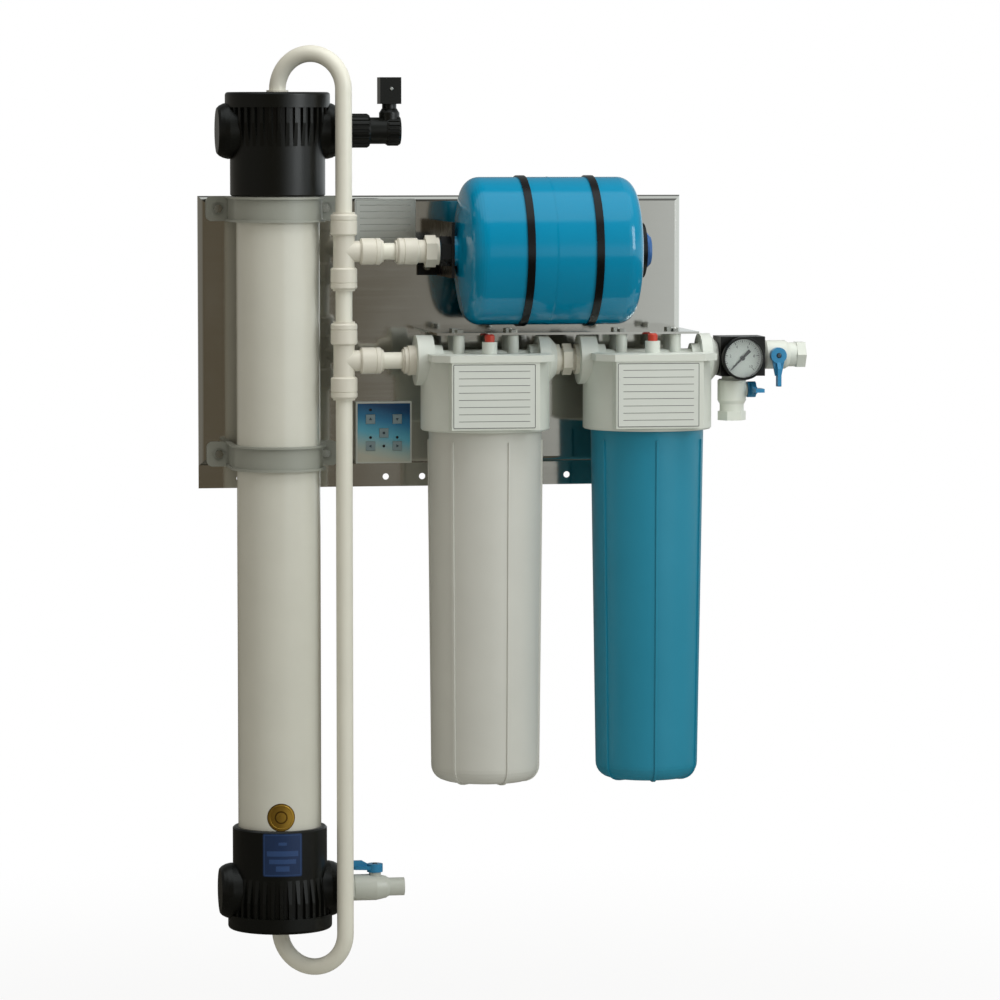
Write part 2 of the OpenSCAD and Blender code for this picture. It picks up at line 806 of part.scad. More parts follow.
// Filter head about its own axis, z from the port axis
module filter_head() {
    difference() {
        union() {
            rotate_extrude() polygon([[0, -skirt_h], [head_r - 2, -skirt_h], [head_r, -skirt_h + 2],
                [head_r, deck - 1], [head_r - 3, deck + 2], [head_r - 7, deck + 2], [head_r - 7, deck - 6],
                [0, deck - 6]]);
            translate([-58, -head_r - 5, -skirt_h + 4.5]) cube([116, head_r, skirt_h - 3]);
            translate([0, 0, deck - 7.5]) linear_extrude(9) polygon([[4 - head_r, -30],
                [4 - head_r, 19 - head_r], [25 - head_r, -head_r - 6.5], [head_r - 25, -head_r - 6.5],
                [head_r - 4, 19 - head_r], [head_r - 4, -30]]);
            rod_x(duct_r, 12 - port_half, port_half - 12);
            for (a = [0, 180])
                rotate([0, 0, a]) rod_x(thread_r + 5, port_half - port_depth - 5, port_half - 20);
            rod_x(port_r, -port_half, 22 - port_half);
            rod_x(port_r, port_half - 24, port_half - 10);
            translate([port_half - 11, 0, 0]) rotate([0, 90, 0])
                cylinder(r1 = port_r, r2 = port_r - 12, h = 11);
            translate([0, 0, deck - 8]) cylinder(r = 17, h = 9);
            for (i = [0:head_ribs - 1])
                rotate([0, 0, (i + 0.5) * 360 / head_ribs]) translate([13, -2, deck - 7.7])
                    cube([head_r - 19, 4, 8]);
            for (p = head_bolts)
                translate([p[0], p[1], 0]) cylinder(r = 7.5, h = port_r);
            translate([0, button_y, deck - 7]) cylinder(r = 10, h = boss_top - deck + 7);
        }
        translate([0, 0, -skirt_h - 1]) cylinder(r = sump_r + clear, h = skirt_h + 1 + chamber_top);
        for (s = [-1, 1])
            rotate([0, 0, s > 0 ? 0 : 180]) rod_x(thread_r + slip, port_half - port_depth, port_half + 1);
        rod_x(duct_in, 57, port_half - 10);
        translate([62, 0, chamber_top - 1]) cylinder(r = 6, h = 22);
        rod_x(duct_in, -port_half + 10, 0);
        translate([0, 0, chamber_top - 1]) cylinder(r = duct_in, h = 23);
        for (p = head_bolts)
            translate([p[0], p[1], port_r - 20]) cylinder(r = bolt_r + slip, h = 21);
        translate([0, button_y, boss_top - 7]) cylinder(r = 6.5 + clear, h = 16);
        translate([0, button_y, chamber_top - 1]) cylinder(r = 3.5 + clear, h = boss_top - chamber_top);
    }
    ring(17, 13, chamber_top - 6, chamber_top + 1);
}

module carbon_head() color("#d4d5ce") at_carbon() filter_head();

module sediment_head() color("#d4d5ce") at_sediment() filter_head();

module relief_button() {
    translate([0, button_y, 0]) {
        translate([0, 0, 4]) cylinder(r = 3.5, h = 20);
        translate([0, 0, boss_top - 3.5]) rotate_extrude()
            polygon([[0, 0], [6.5, 0], [6.5, 11.5], [4.5, 13.5], [0, 13.5]]);
    }
}

module carbon_relief_button() color("#b5201c") at_carbon() relief_button();

module sediment_relief_button() color("#b5201c") at_sediment() relief_button();

// Outside of a sump as radius and height, grown by g
function sump_outline(foot_r, g) = concat([[0, neck_top], [sump_r + g, neck_top], [sump_r + g, -skirt_h - 6]],
    [[foot_r + g + 0.05, -sump_depth + 23]], arc([foot_r - 20, -sump_depth + 20], 20 + g, 0, -90, 7),
    [[0, -sump_depth - g]]);

module filter_sump(foot_r, turn) {
    difference() {
        union() {
            rotate_extrude() polygon(sump_outline(foot_r, 0));
            intersection() {
                rotate_extrude() polygon(sump_outline(foot_r, 1.8));
                for (i = [0:sump_ribs - 1])
                    rotate([0, 0, turn + i * 360 / sump_ribs])
                        translate([foot_r - 30, -1.75, -sump_depth - 5])
                            cube([50, 3.5, sump_depth - skirt_h - 8]);
            }
        }
        rotate_extrude() polygon([[0, neck_top + 1], [sump_r - sump_wall, neck_top + 1],
            [sump_r - sump_wall, -skirt_h - 6], [foot_r - sump_wall, sump_floor + 20],
            [foot_r - sump_wall - 4, sump_floor + 5], [foot_r - 22, sump_floor], [0, sump_floor]]);
    }
    ring(17, 13, sump_floor - 1, sump_floor + 13);
}

module carbon_sump() color("#cfd0c9") at_carbon() filter_sump(carbon_foot_r, -74);

module sediment_sump() color("#2e86a5") at_sediment() filter_sump(sediment_foot_r, -90);

module filter_cartridge() {
    difference() {
        rotate_extrude() polygon([[0, cartridge_bottom], [cartridge_r + 0.8, cartridge_bottom],
            [cartridge_r + 0.8, cartridge_bottom + 12], [cartridge_r - 1, cartridge_bottom + 13],
            [cartridge_r - 1, cartridge_top - 13], [cartridge_r + 0.8, cartridge_top - 12],
            [cartridge_r + 0.8, cartridge_top], [0, cartridge_top]]);
        translate([0, 0, cartridge_bottom + 10]) cylinder(r = 12, h = sump_depth);
    }
}

module carbon_cartridge() color("#dcdcd6") at_carbon() filter_cartridge();

module sediment_cartridge() color("#eceae0") at_sediment() filter_cartridge();

module filter_nipples() color("#cfcdbf") {
    translate([carbon_x + port_half, line_y, lower_z]) difference() {
        union() {
            rod_x(thread_r, -thread_len, head_gap + thread_len);
            hex_x(36, head_gap / 2 - 6, head_gap / 2 + 6);
            rod_x(20, 0, 5);
            rod_x(20, head_gap - 5, head_gap);
        }
        rod_x(10, -thread_len - 1, head_gap + thread_len + 1);
    }
    translate([sediment_x + port_half, line_y, lower_z]) difference() {
        rod_x(thread_r, -thread_len, 6);
        rod_x(10, -thread_len - 1, 7);
    }
}

module inlet_manifold() color("#20211e") {
    z_mid = block_low + block_h / 2;
    difference() {
        translate([block_x, line_y - block_half, block_low]) cube([block_w, 2 * block_half, block_h]);
        translate([block_x, line_y, lower_z]) {
            rod_x(thread_r + slip, -1, 6);
            rod_x(10, 5, 20);
        }
        translate([block_x, line_y, inlet_z]) {
            rod_x(way_r, 10, block_w);
            rod_x(male_r + slip, block_w - male_len - 1, block_w + 1);
        }
        translate([bleed_x, line_y, block_low - 1]) {
            cylinder(r = male_r + slip, h = male_len + 2);
            cylinder(r = way_r, h = z_mid - block_low);
        }
        translate([gauge_x, line_y, gauge_z]) rod_front(6 + slip, 0, block_half + 1);
    }
}

module at_gauge() {
    translate([gauge_x, line_y, gauge_z]) children();
}

face = block_half + gauge_depth;

module gauge_case() color("#161715") {
    at_gauge() difference() {
        union() {
            translate([0, -block_half, 0]) rotate([90, 0, 0]) rotate_extrude()
                polygon([[0, 0], [gauge_r - 3, 0], [gauge_r - 1, 2], [gauge_r - 1, gauge_depth - 6],
                    [gauge_r, gauge_depth - 6], [gauge_r, gauge_depth - 1], [gauge_r - 1, gauge_depth],
                    [0, gauge_depth]]);
            rod_front(6, block_half - 16, block_half + 1);
        }
        rod_front(gauge_r - 3, block_half + 4, face + 1);
        rod_front(1.2 + clear, block_half, face);
        rod_front(2.5, block_half - 17, block_half - 2);
    }
}

module gauge_dial() color("#c5ccc8") {
    at_gauge() difference() {
        rod_front(gauge_r - 3 - slip, block_half + 4, block_half + 5.2);
        rod_front(1.2 + clear, block_half, face);
    }
}

module gauge_lens() color("#e8eef0") {
    at_gauge() rod_front(gauge_r - 3 - slip, face - 4, face - 2);
}

module gauge_pointer() color("#181818") {
    at_gauge() {
        rod_front(1.2, block_half + 1, block_half + 7);
        rod_front(3.2, block_half + 6, block_half + 8.5);
        translate([0, -block_half - 6.6, 0]) rotate([90, -135, 0]) linear_extrude(0.9)
            polygon([[0.6, gauge_r - 7], [-0.6, gauge_r - 7], [-1.4, 0], [-2.2, -14], [2.2, -14], [1.4, 0]]);
    }
}

// Ball valve about its ball: flow along X, stem up Z
module line_valve() {
    difference() {
        union() {
            rod_x(male_r, -valve_left - male_len, -valve_left + 1);
            rod_x(13.5, -valve_left, -12);
            translate([-14, 0, 0]) rotate([0, 90, 0]) rotate_extrude()
                polygon([[0, 0], [valve_r - 2, 0], [valve_r, 2], [valve_r, 28], [valve_r - 3, 33], [0, 33]]);
            rod_x(valve_r - 3, 18, valve_right - 10);
            hex_x(2 * valve_r - 5, valve_right - 12, valve_right);
            cylinder(r = 8, h = bonnet_h);
        }
        rod_x(way_r, -valve_left - male_len - 1, valve_right);
        rod_x(ball_r + 0.45, -ball_r, ball_r);
        rod_x(12, valve_right - 16, valve_right + 1);
        cylinder(r = stem_r + stem_gap, h = bonnet_h + 1);
    }
}

module drain_valve() {
    difference() {
        union() {
            rod_x(male_r, -drain_left - nut_show - male_len, -drain_left);
            hex_x(35, -drain_left - nut_show, -drain_left);
            translate([-drain_left, 0, 0]) rotate([0, 90, 0]) rotate_extrude()
                polygon([[0, 0], [valve_r - 2.5, 0], [valve_r - 1.5, 1], [valve_r - 1.5, 30],
                    [14.5, drain_left + 15], [0, drain_left + 15]]);
            translate([14, 0, 0]) rotate([0, 90, 0]) cylinder(r1 = 14.5, r2 = 12, h = 5);
            rod_x(12, 18, 39);
            cylinder(r = 8, h = bonnet_h);
        }
        rod_x(way_r, -drain_left - nut_show - male_len - 1, 40);
        rod_x(ball_r + 0.45, -ball_r, ball_r);
        cylinder(r = stem_r + stem_gap, h = bonnet_h + 1);
    }
}

// Two cone-faced seat rings, one on each side of the ball
module seat_pair() {
    r = ball_r + 0.45 - slip;
    x = sqrt(pow(ball_r + clear, 2) - pow(way_r, 2));
    for (a = [90, -90])
        rotate([0, a, 0]) rotate_extrude()
            polygon([[way_r, x], [r, x - (r - way_r) * way_r / x], [r, ball_r], [way_r, ball_r]]);
}

// Ball and stem in one, waterway turned about the stem
module valve_ball(turn) {
    difference() {
        union() {
            sphere(ball_r);
            cylinder(r = stem_r, h = hub_base + 8);
        }
        rotate([0, 0, turn]) rod_x(way_r, -ball_r - 1, ball_r + 1);
    }
}

// Lever on the stem, pointing along the turned X axis
module valve_lever(turn) {
    rotate([0, 0, turn]) translate([0, 0, hub_base]) difference() {
        union() {
            cylinder(r = hub_r, h = hub_h);
            translate([0, 0, arm_low]) linear_extrude(5)
                polygon([[0, 1 - hub_r], [27, -4], [27, 4], [0, hub_r - 1]]);
            translate([0, blade_t / 2, 0]) rotate([90, 0, 0]) linear_extrude(blade_t)
                polygon([[0, arm_low], [lever_len, arm_low], [lever_len, arm_top - 1],
                    [lever_len - 1, arm_top], [hub_r + 7, arm_top], [hub_r - 1, hub_h], [0, hub_h]]);
        }
        translate([0, 0, -1]) cylinder(r = stem_r + slip, h = 9.5);
    }
}

module at_inlet() {
    translate([inlet_x, line_y, inlet_z]) rotate([90, 0, 0]) children();
}

module at_bleed() {
    translate([bleed_x, line_y, bleed_z]) rotate([0, 90, 0]) children();
}

module at_drain() {
    translate([drain_x, vessel_y, drain_z]) children();
}

module inlet_valve_body() color("#dfe0d8") at_inlet() line_valve();

module bleed_valve_body() color("#dfe0d8") at_bleed() line_valve();

module drain_valve_body() color("#dfe0d8") at_drain() drain_valve();

module inlet_ball() color("#c9ccc8") at_inlet() valve_ball(90);

module bleed_ball() color("#c9ccc8") at_bleed() valve_ball(90);

module drain_ball() color("#c9ccc8") at_drain() valve_ball(0);

module inlet_lever() color("#2f7fbf") at_inlet() valve_lever(-90);

module bleed_lever() color("#2f7fbf") at_bleed() valve_lever(-90);

module drain_lever() color("#2f7fbf") at_drain() valve_lever(180);

module valve_seats() color("#f0f0ec") {
    at_inlet() seat_pair();
    at_bleed() seat_pair();
    at_drain() seat_pair();
}

module at_keypad() {
    translate([keypad_x, panel_y - keypad_depth, keypad_z]) children();
}

module key_holes(side, y0, y1) {
    for (k = key_at)
        translate([k[0] - side / 2, y0, k[1] - side / 2]) cube([side, y1 - y0, side]);
}

module keypad_housing() color("#c3c7c2") {
    at_keypad() difference() {
        translate([-keypad_w / 2, 0, -keypad_h / 2]) cube([keypad_w, keypad_depth, keypad_h]);
        translate([-keypad_w / 2 + 2, -1, -keypad_h / 2 + 2])
            cube([keypad_w - 4, overlay_t + 1, keypad_h - 4]);
        key_holes(key_side + 2 * clear, -1, key_thick + 1);
    }
}

module keypad_overlay() color("#2c5f88") {
    at_keypad() difference() {
        translate([-keypad_w / 2 + 2 + slip, 0, -keypad_h / 2 + 2 + slip])
            cube([keypad_w - 4 - 2 * slip, overlay_t, keypad_h - 4 - 2 * slip]);
        key_holes(key_side + 2 * clear, -1, overlay_t + 1);
    }
}

module keypad_key(i) color("#9db4bd") {
    at_keypad() translate([key_at[i][0] - key_side / 2, -key_proud, key_at[i][1] - key_side / 2])
        cube([key_side, key_thick, key_side]);
}

module keypad_key_1() keypad_key(0);

module keypad_key_2() keypad_key(1);

module keypad_key_3() keypad_key(2);

module keypad_key_4() keypad_key(3);

module keypad_key_5() keypad_key(4);

back_panel();
filter_bracket();
screws();
carbon_head();
sediment_head();
o_rings();
filter_nipples();
filter_port_adapter();
inlet_manifold();
gauge_case();
gauge_dial();
gauge_lens();
gauge_pointer();
inlet_valve_body();
inlet_ball();
inlet_lever();
bleed_valve_body();
bleed_ball();
bleed_lever();
drain_valve_body();
drain_ball();
drain_lever();
valve_seats();
vessel_tube();
top_head();
bottom_head();
end_covers();
membrane_element();
vessel_clamps();
vessel_saddles();
solenoid_valve_body();
solenoid_coil();
upper_tee();
lower_tee();
pipe_collets();
arch_pipe();
link_pipes();
riser_pipe();
tank_adapter();
tank_union_nut();
tank_shell();
tank_diaphragm();
tank_air_valve();
tank_cap();
tank_bracket();
tank_straps();
tank_saddles();
keypad_housing();
keypad_overlay();
carbon_sump();
sediment_sump();
carbon_cartridge();
sediment_cartridge();
carbon_relief_button();
sediment_relief_button();
keypad_key_1();
keypad_key_2();
keypad_key_3();
keypad_key_4();
keypad_key_5();
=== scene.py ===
"""Looks of a wall-mounted water filtration unit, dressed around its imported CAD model."""
import json
import math

import bmesh
import bpy
from mathutils import Matrix, Vector


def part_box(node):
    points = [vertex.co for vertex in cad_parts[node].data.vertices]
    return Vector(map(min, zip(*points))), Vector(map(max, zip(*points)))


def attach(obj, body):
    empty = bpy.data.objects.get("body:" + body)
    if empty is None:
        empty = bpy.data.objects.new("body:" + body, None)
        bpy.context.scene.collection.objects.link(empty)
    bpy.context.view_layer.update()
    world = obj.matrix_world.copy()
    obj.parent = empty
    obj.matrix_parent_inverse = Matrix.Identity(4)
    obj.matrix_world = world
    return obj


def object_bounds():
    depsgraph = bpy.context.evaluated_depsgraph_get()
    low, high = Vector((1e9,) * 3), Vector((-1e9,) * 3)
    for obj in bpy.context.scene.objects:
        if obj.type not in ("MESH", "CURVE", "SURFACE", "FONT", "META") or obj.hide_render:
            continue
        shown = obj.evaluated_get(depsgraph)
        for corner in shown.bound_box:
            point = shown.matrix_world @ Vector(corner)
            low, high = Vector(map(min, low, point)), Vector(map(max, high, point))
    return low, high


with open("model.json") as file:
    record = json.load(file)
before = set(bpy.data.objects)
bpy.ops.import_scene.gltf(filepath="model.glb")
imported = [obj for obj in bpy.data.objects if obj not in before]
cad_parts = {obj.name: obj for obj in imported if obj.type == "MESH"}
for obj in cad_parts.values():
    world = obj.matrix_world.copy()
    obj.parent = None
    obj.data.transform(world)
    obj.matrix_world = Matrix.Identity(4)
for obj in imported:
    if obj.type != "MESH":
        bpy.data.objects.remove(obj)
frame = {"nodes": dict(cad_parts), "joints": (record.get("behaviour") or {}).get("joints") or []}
CAD_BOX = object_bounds()

bl_info = {
    "name": "Water Filtration Unit",
    "version": (1, 0, 0),
    "blender": (4, 5, 0),
    "location": "View3D > Sidebar > Filter Unit",
    "description": "Finishes, labels, dial print and stage of a wall-mounted water filtration unit",
    "category": "Object",
}

MM = 0.001
# the body that hangs on the wall
BASE = "frame"
# the dim room that steel and gloss mirror
ROOM_TONE = "#655d4e"


def srgb(code):
    """A hex colour as linear red, green, blue and alpha."""
    parts = [int(code[i:i + 2], 16) / 255 for i in (1, 3, 5)]
    return tuple(c / 12.92 if c <= 0.04045 else ((c + 0.055) / 1.055) ** 2.4 for c in parts) + (1.0,)


def shade(colour, share):
    """A linear colour at a share of its brightness, and no brighter than white."""
    return [min(1.0, c * share) for c in colour[:3]] + [1.0]


def add(tree, kind, values=None, links=None):
    """Adds one node, sets its properties or sockets, and links its sockets to outputs."""
    made = tree.nodes.new(kind)
    for key, value in (values or {}).items():
        if isinstance(key, str) and hasattr(made, key):
            setattr(made, key, value)
        else:
            made.inputs[key].default_value = value
    for key, source in (links or {}).items():
        tree.links.new(source, made.inputs[key])
    return made


def start_material(name):
    """An empty node material with its output."""
    mat = bpy.data.materials.new(name)
    mat.use_nodes = True
    mat.node_tree.nodes.clear()
    return mat, mat.node_tree, add(mat.node_tree, "ShaderNodeOutputMaterial")


def colour_prop(name, description, code):
    """A colour setting that starts from a hex value."""
    return bpy.props.FloatVectorProperty(name=name, description=description, size=4, min=0.0, max=1.0,
                                         subtype="COLOR", default=srgb(code))


class FinishColours(bpy.types.PropertyGroup):
    """Colours of the unit's finishes."""
    steel: colour_prop("Sheet steel", "Rolled stainless sheet of the panel and filter bracket", "#c6c4be")
    zinc: colour_prop("Zinc plate", "Plated bolts and nuts", "#b4b5af")
    head: colour_prop("Filter heads", "White polypropylene of the filter heads", "#d8ddd5")
    white_bowl: colour_prop("White sump", "White polypropylene of the left sump", "#cecfc8")
    blue_bowl: colour_prop("Blue sump", "Blue polypropylene of the right sump", "#1f88a5")
    tube: colour_prop("Vessel tube", "White vinyl of the membrane vessel", "#d4d4c9")
    pipe: colour_prop("Pipe", "Natural polyethylene pipe", "#e4e3d6")
    fitting: colour_prop("Fittings", "Acetal push-fit fittings", "#dad7ca")
    valve: colour_prop("Inlet valve", "White vinyl of the inlet valve's body", "#dce1d8")
    lever: colour_prop("Levers", "Blue nylon valve levers", "#2f86b5")
    black: colour_prop("Black mouldings", "Black vessel heads, manifold, gauge case and solenoid", "#0c0d0a")
    clamp: colour_prop("Clamps", "Natural polypropylene vessel clamps", "#aaada3")
    tank: colour_prop("Tank enamel", "Blue baked enamel of the pressure tank", "#0088b0")
    button: colour_prop("Relief buttons", "Red pressure relief buttons", "#bf3e2c")
    print_top: colour_prop("Keypad print, top", "Top of the keypad's printed fade", "#104674")
    print_low: colour_prop("Keypad print, foot", "Foot of the keypad's printed fade", "#cfd0c2")


class DetailSizes(bpy.types.PropertyGroup):
    """Sizes of the added plates, labels and prints."""
    label_w: bpy.props.FloatProperty(name="Head label width", description="Width of each bare head label",
                                     default=109 * MM, min=0.06, max=0.115, unit="LENGTH")
    label_h: bpy.props.FloatProperty(name="Head label height", description="Height of each bare head label",
                                     default=84 * MM, min=0.05, max=0.087, unit="LENGTH")
    seal_r: bpy.props.FloatProperty(name="Seal radius", description="Radius of the gilt seal on the tube",
                                    default=18.5 * MM, min=0.01, max=0.025, unit="LENGTH")
    seal_z: bpy.props.FloatProperty(name="Seal height", description="Height of the gilt seal's middle",
                                    default=-438 * MM, min=-0.44, max=0.0, unit="LENGTH")
    dial_span: bpy.props.FloatProperty(name="Dial sweep", description="Turn from first to last mark",
                                       default=math.radians(270), subtype="ANGLE")


def settings():
    """The scene's colours and sizes."""
    return bpy.context.scene.unit_colours, bpy.context.scene.unit_sizes


def moulded(name, colour, roughness, ior=1.49, grain=1.2, depth=0.02, tone=0.05):
    """A moulded or extruded plastic: faint flow mottling, uneven gloss and a fine mould grain.

    grain is the size in millimetres of the mould texture, which is drawn coarser than the real
    0.2 mm so that it shows, and depth its height in millimetres. tone is the share by which the
    mottling darkens and lightens the colour.
    """
    mat, tree, out = start_material(name)
    place = add(tree, "ShaderNodeTexCoord")
    mottle = add(tree, "ShaderNodeTexNoise", {"Scale": 1 / (70 * MM), "Detail": 3.0, "Roughness": 0.6},
                 {"Vector": place.outputs["Object"]})
    tint = add(tree, "ShaderNodeMix",
               {"data_type": "RGBA", "A": shade(colour, 1 - tone), "B": shade(colour, 1 + tone)},
               {"Factor": mottle.outputs["Fac"]})
    fine = add(tree, "ShaderNodeTexNoise", {"Scale": 1 / (grain * MM), "Detail": 2.0},
               {"Vector": place.outputs["Object"]})
    gloss = add(tree, "ShaderNodeMapRange", {"To Min": roughness - 0.06, "To Max": roughness + 0.06},
                {"Value": mottle.outputs["Fac"]})
    bump = add(tree, "ShaderNodeBump", {"Strength": 0.35, "Distance": depth * MM},
               {"Height": fine.outputs["Fac"]})
    shader = add(tree, "ShaderNodeBsdfPrincipled", {"IOR": ior},
                 {"Base Color": tint.outputs["Result"], "Roughness": gloss.outputs["Result"],
                  "Normal": bump.outputs["Normal"]})
    tree.links.new(shader.outputs["BSDF"], out.inputs["Surface"])
    return mat


def sheet_metal(name, colour, low, high, stretch):
    """Rolled, plated or foil metal: a soft mirror with faint lines and wiped smudges.

    low and high are the roughness of its cleanest and most smudged places, and stretch is how
    many lines there are to the metre along X, Y and Z, fewer than on real metal so that they show.
    """
    mat, tree, out = start_material(name)
    place = add(tree, "ShaderNodeTexCoord")
    turned = add(tree, "ShaderNodeMapping", {"Scale": stretch}, {"Vector": place.outputs["Object"]})
    lines = add(tree, "ShaderNodeTexNoise", {"Scale": 1.0, "Detail": 4.0, "Roughness": 0.65},
                {"Vector": turned.outputs["Vector"]})
    smudge = add(tree, "ShaderNodeTexNoise", {"Scale": 1 / (90 * MM), "Detail": 4.0, "Distortion": 0.6},
                 {"Vector": place.outputs["Object"]})
    both = add(tree, "ShaderNodeMath", {"operation": "MULTIPLY"},
               {0: lines.outputs["Fac"], 1: smudge.outputs["Fac"]})
    gloss = add(tree, "ShaderNodeMapRange",
                {"From Min": 0.1, "From Max": 0.4, "To Min": low, "To Max": high},
                {"Value": both.outputs["Value"]})
    bump = add(tree, "ShaderNodeBump", {"Strength": 0.03, "Distance": 0.01 * MM},
               {"Height": lines.outputs["Fac"]})
    shader = add(tree, "ShaderNodeBsdfPrincipled", {"Base Color": colour, "Metallic": 1.0},
                 {"Roughness": gloss.outputs["Result"], "Normal": bump.outputs["Normal"]})
    tree.links.new(shader.outputs["BSDF"], out.inputs["Surface"])
    return mat


def baked_enamel(name, colour):
    """Gloss enamel sprayed on steel and baked: a hard clear shine over a faint orange-peel ripple."""
    mat, tree, out = start_material(name)
    place = add(tree, "ShaderNodeTexCoord")
    # orange peel is about 1.5 mm across, drawn at 5 mm so that it shows
    peel = add(tree, "ShaderNodeTexNoise", {"Scale": 1 / (5 * MM), "Detail": 1.0},
               {"Vector": place.outputs["Object"]})
    cloud = add(tree, "ShaderNodeTexNoise", {"Scale": 1 / (120 * MM), "Detail": 2.0},
                {"Vector": place.outputs["Object"]})
    tint = add(tree, "ShaderNodeMix", {"data_type": "RGBA", "A": shade(colour, 0.94), "B": colour},
               {"Factor": cloud.outputs["Fac"]})
    bump = add(tree, "ShaderNodeBump", {"Strength": 0.12, "Distance": 0.04 * MM},
               {"Height": peel.outputs["Fac"]})
    gloss = add(tree, "ShaderNodeMapRange", {"To Min": 0.09, "To Max": 0.15},
                {"Value": cloud.outputs["Fac"]})
    shader = add(tree, "ShaderNodeBsdfPrincipled", {"IOR": 1.5},
                 {"Base Color": tint.outputs["Result"], "Roughness": gloss.outputs["Result"],
                  "Normal": bump.outputs["Normal"]})
    tree.links.new(shader.outputs["BSDF"], out.inputs["Surface"])
    return mat


def natural_polypropylene(name, colour):
    """Uncoloured polypropylene strap: milky, lets some light through and blurs what is behind."""
    mat, tree, out = start_material(name)
    place = add(tree, "ShaderNodeTexCoord")
    flow = add(tree, "ShaderNodeTexNoise", {"Scale": 1 / (12 * MM), "Detail": 3.0},
               {"Vector": place.outputs["Object"]})
    gloss = add(tree, "ShaderNodeMapRange", {"To Min": 0.3, "To Max": 0.48},
                {"Value": flow.outputs["Fac"]})
    bump = add(tree, "ShaderNodeBump", {"Strength": 0.2, "Distance": 0.03 * MM},
               {"Height": flow.outputs["Fac"]})
    shader = add(tree, "ShaderNodeBsdfPrincipled",
                 {"Base Color": colour, "IOR": 1.49, "Transmission Weight": 0.22},
                 {"Roughness": gloss.outputs["Result"], "Normal": bump.outputs["Normal"]})
    tree.links.new(shader.outputs["BSDF"], out.inputs["Surface"])
    return mat


def clear_lens(name):
    """Clear acrylic gauge window: nearly invisible, with a sharp reflection and a few faint hairlines."""
    mat, tree, out = start_material(name)
    place = add(tree, "ShaderNodeTexCoord")
    hair = add(tree, "ShaderNodeTexNoise", {"Scale": 1 / (4 * MM), "Detail": 3.0, "Distortion": 2.0},
               {"Vector": place.outputs["Object"]})
    gloss = add(tree, "ShaderNodeMapRange",
                {"From Min": 0.5, "From Max": 0.8, "To Min": 0.0, "To Max": 0.06},
                {"Value": hair.outputs["Fac"]})
    shader = add(tree, "ShaderNodeBsdfPrincipled",
                 {"Base Color": srgb("#f7faf8"), "IOR": 1.49, "Transmission Weight": 1.0},
                 {"Roughness": gloss.outputs["Result"]})
    tree.links.new(shader.outputs["BSDF"], out.inputs["Surface"])
    return mat


def printed_fade(name, low, high, colours):
    """Polyester keypad film, screen-printed as a fade of dots from deep blue to pale grey, gloss over."""
    mat, tree, out = start_material(name)
    place = add(tree, "ShaderNodeTexCoord")
    axes = add(tree, "ShaderNodeSeparateXYZ", {}, {"Vector": place.outputs["Object"]})
    up = add(tree, "ShaderNodeMapRange", {"From Min": low.z, "From Max": high.z},
             {"Value": axes.outputs["Z"]})
    # the fade leans, so that the blue reaches further down at the right; the darker right side this gives is
    # a painted shade
    across = add(tree, "ShaderNodeMapRange",
                 {"From Min": low.x, "From Max": high.x, "To Min": -0.1, "To Max": 0.1},
                 {"Value": axes.outputs["X"]})
    # print dots are 0.15 mm, drawn at 0.9 mm so that the fade keeps its grain
    dots = add(tree, "ShaderNodeTexVoronoi", {"Scale": 1 / (0.9 * MM)},
               {"Vector": place.outputs["Object"]})
    grain = add(tree, "ShaderNodeMapRange", {"To Min": -0.03, "To Max": 0.03},
                {"Value": dots.outputs["Distance"]})
    tilt = add(tree, "ShaderNodeMath", {"operation": "ADD"},
               {0: up.outputs["Result"], 1: across.outputs["Result"]})
    level = add(tree, "ShaderNodeMath", {"operation": "ADD"},
                {0: tilt.outputs["Value"], 1: grain.outputs["Result"]})
    fade = add(tree, "ShaderNodeValToRGB", {}, {"Fac": level.outputs["Value"]})
    ramp = fade.color_ramp
    ramp.elements[0].position = 0.04
    ramp.elements[0].color = colours.print_low
    ramp.elements[1].position = 0.95
    ramp.elements[1].color = colours.print_top
    for at, code in ((0.2, "#b4ccc9"), (0.45, "#66c0dc"), (0.7, "#3086b6")):
        ramp.elements.new(at).color = srgb(code)
    shader = add(tree, "ShaderNodeBsdfPrincipled", {"IOR": 1.57, "Roughness": 0.22},
                 {"Base Color": fade.outputs["Color"]})
    tree.links.new(shader.outputs["BSDF"], out.inputs["Surface"])
    return mat


def spun_fibre(name, colour, pitch):
    """Wound or spun filter fibre: soft matt windings, pitch millimetres apart.

    They are drawn about twice as far apart, so that they show.
    """
    mat, tree, out = start_material(name)
    place = add(tree, "ShaderNodeTexCoord")
    wave = add(tree, "ShaderNodeTexWave",
               {"bands_direction": "Z", "Scale": 1 / (pitch * 6.28 * MM), "Distortion": 1.5, "Detail": 2.0},
               {"Vector": place.outputs["Object"]})
    # the windings darken where the bump sinks between them, a painted shade in the grooves
    tint = add(tree, "ShaderNodeMix", {"data_type": "RGBA", "A": shade(colour, 0.8), "B": colour},
               {"Factor": wave.outputs["Fac"]})
    bump = add(tree, "ShaderNodeBump", {"Strength": 0.5, "Distance": 0.4 * MM},
               {"Height": wave.outputs["Fac"]})
    shader = add(tree, "ShaderNodeBsdfPrincipled", {"Roughness": 0.85, "IOR": 1.45},
                 {"Base Color": tint.outputs["Result"], "Normal": bump.outputs["Normal"]})
    tree.links.new(shader.outputs["BSDF"], out.inputs["Surface"])
    return mat


def finish_piece(name, bm, mats, body=BASE):
    """Turns a bmesh into a named piece at the origin that rides on a body."""
    bmesh.ops.remove_doubles(bm, verts=bm.verts, dist=1e-7)
    bmesh.ops.recalc_face_normals(bm, faces=bm.faces)
    mesh = bpy.data.meshes.new(name)
    bm.to_mesh(mesh)
    bm.free()
    for mat in mats:
        mesh.materials.append(mat)
    piece = bpy.data.objects.new(name, mesh)
    bpy.context.scene.collection.objects.link(piece)
    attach(piece, body)


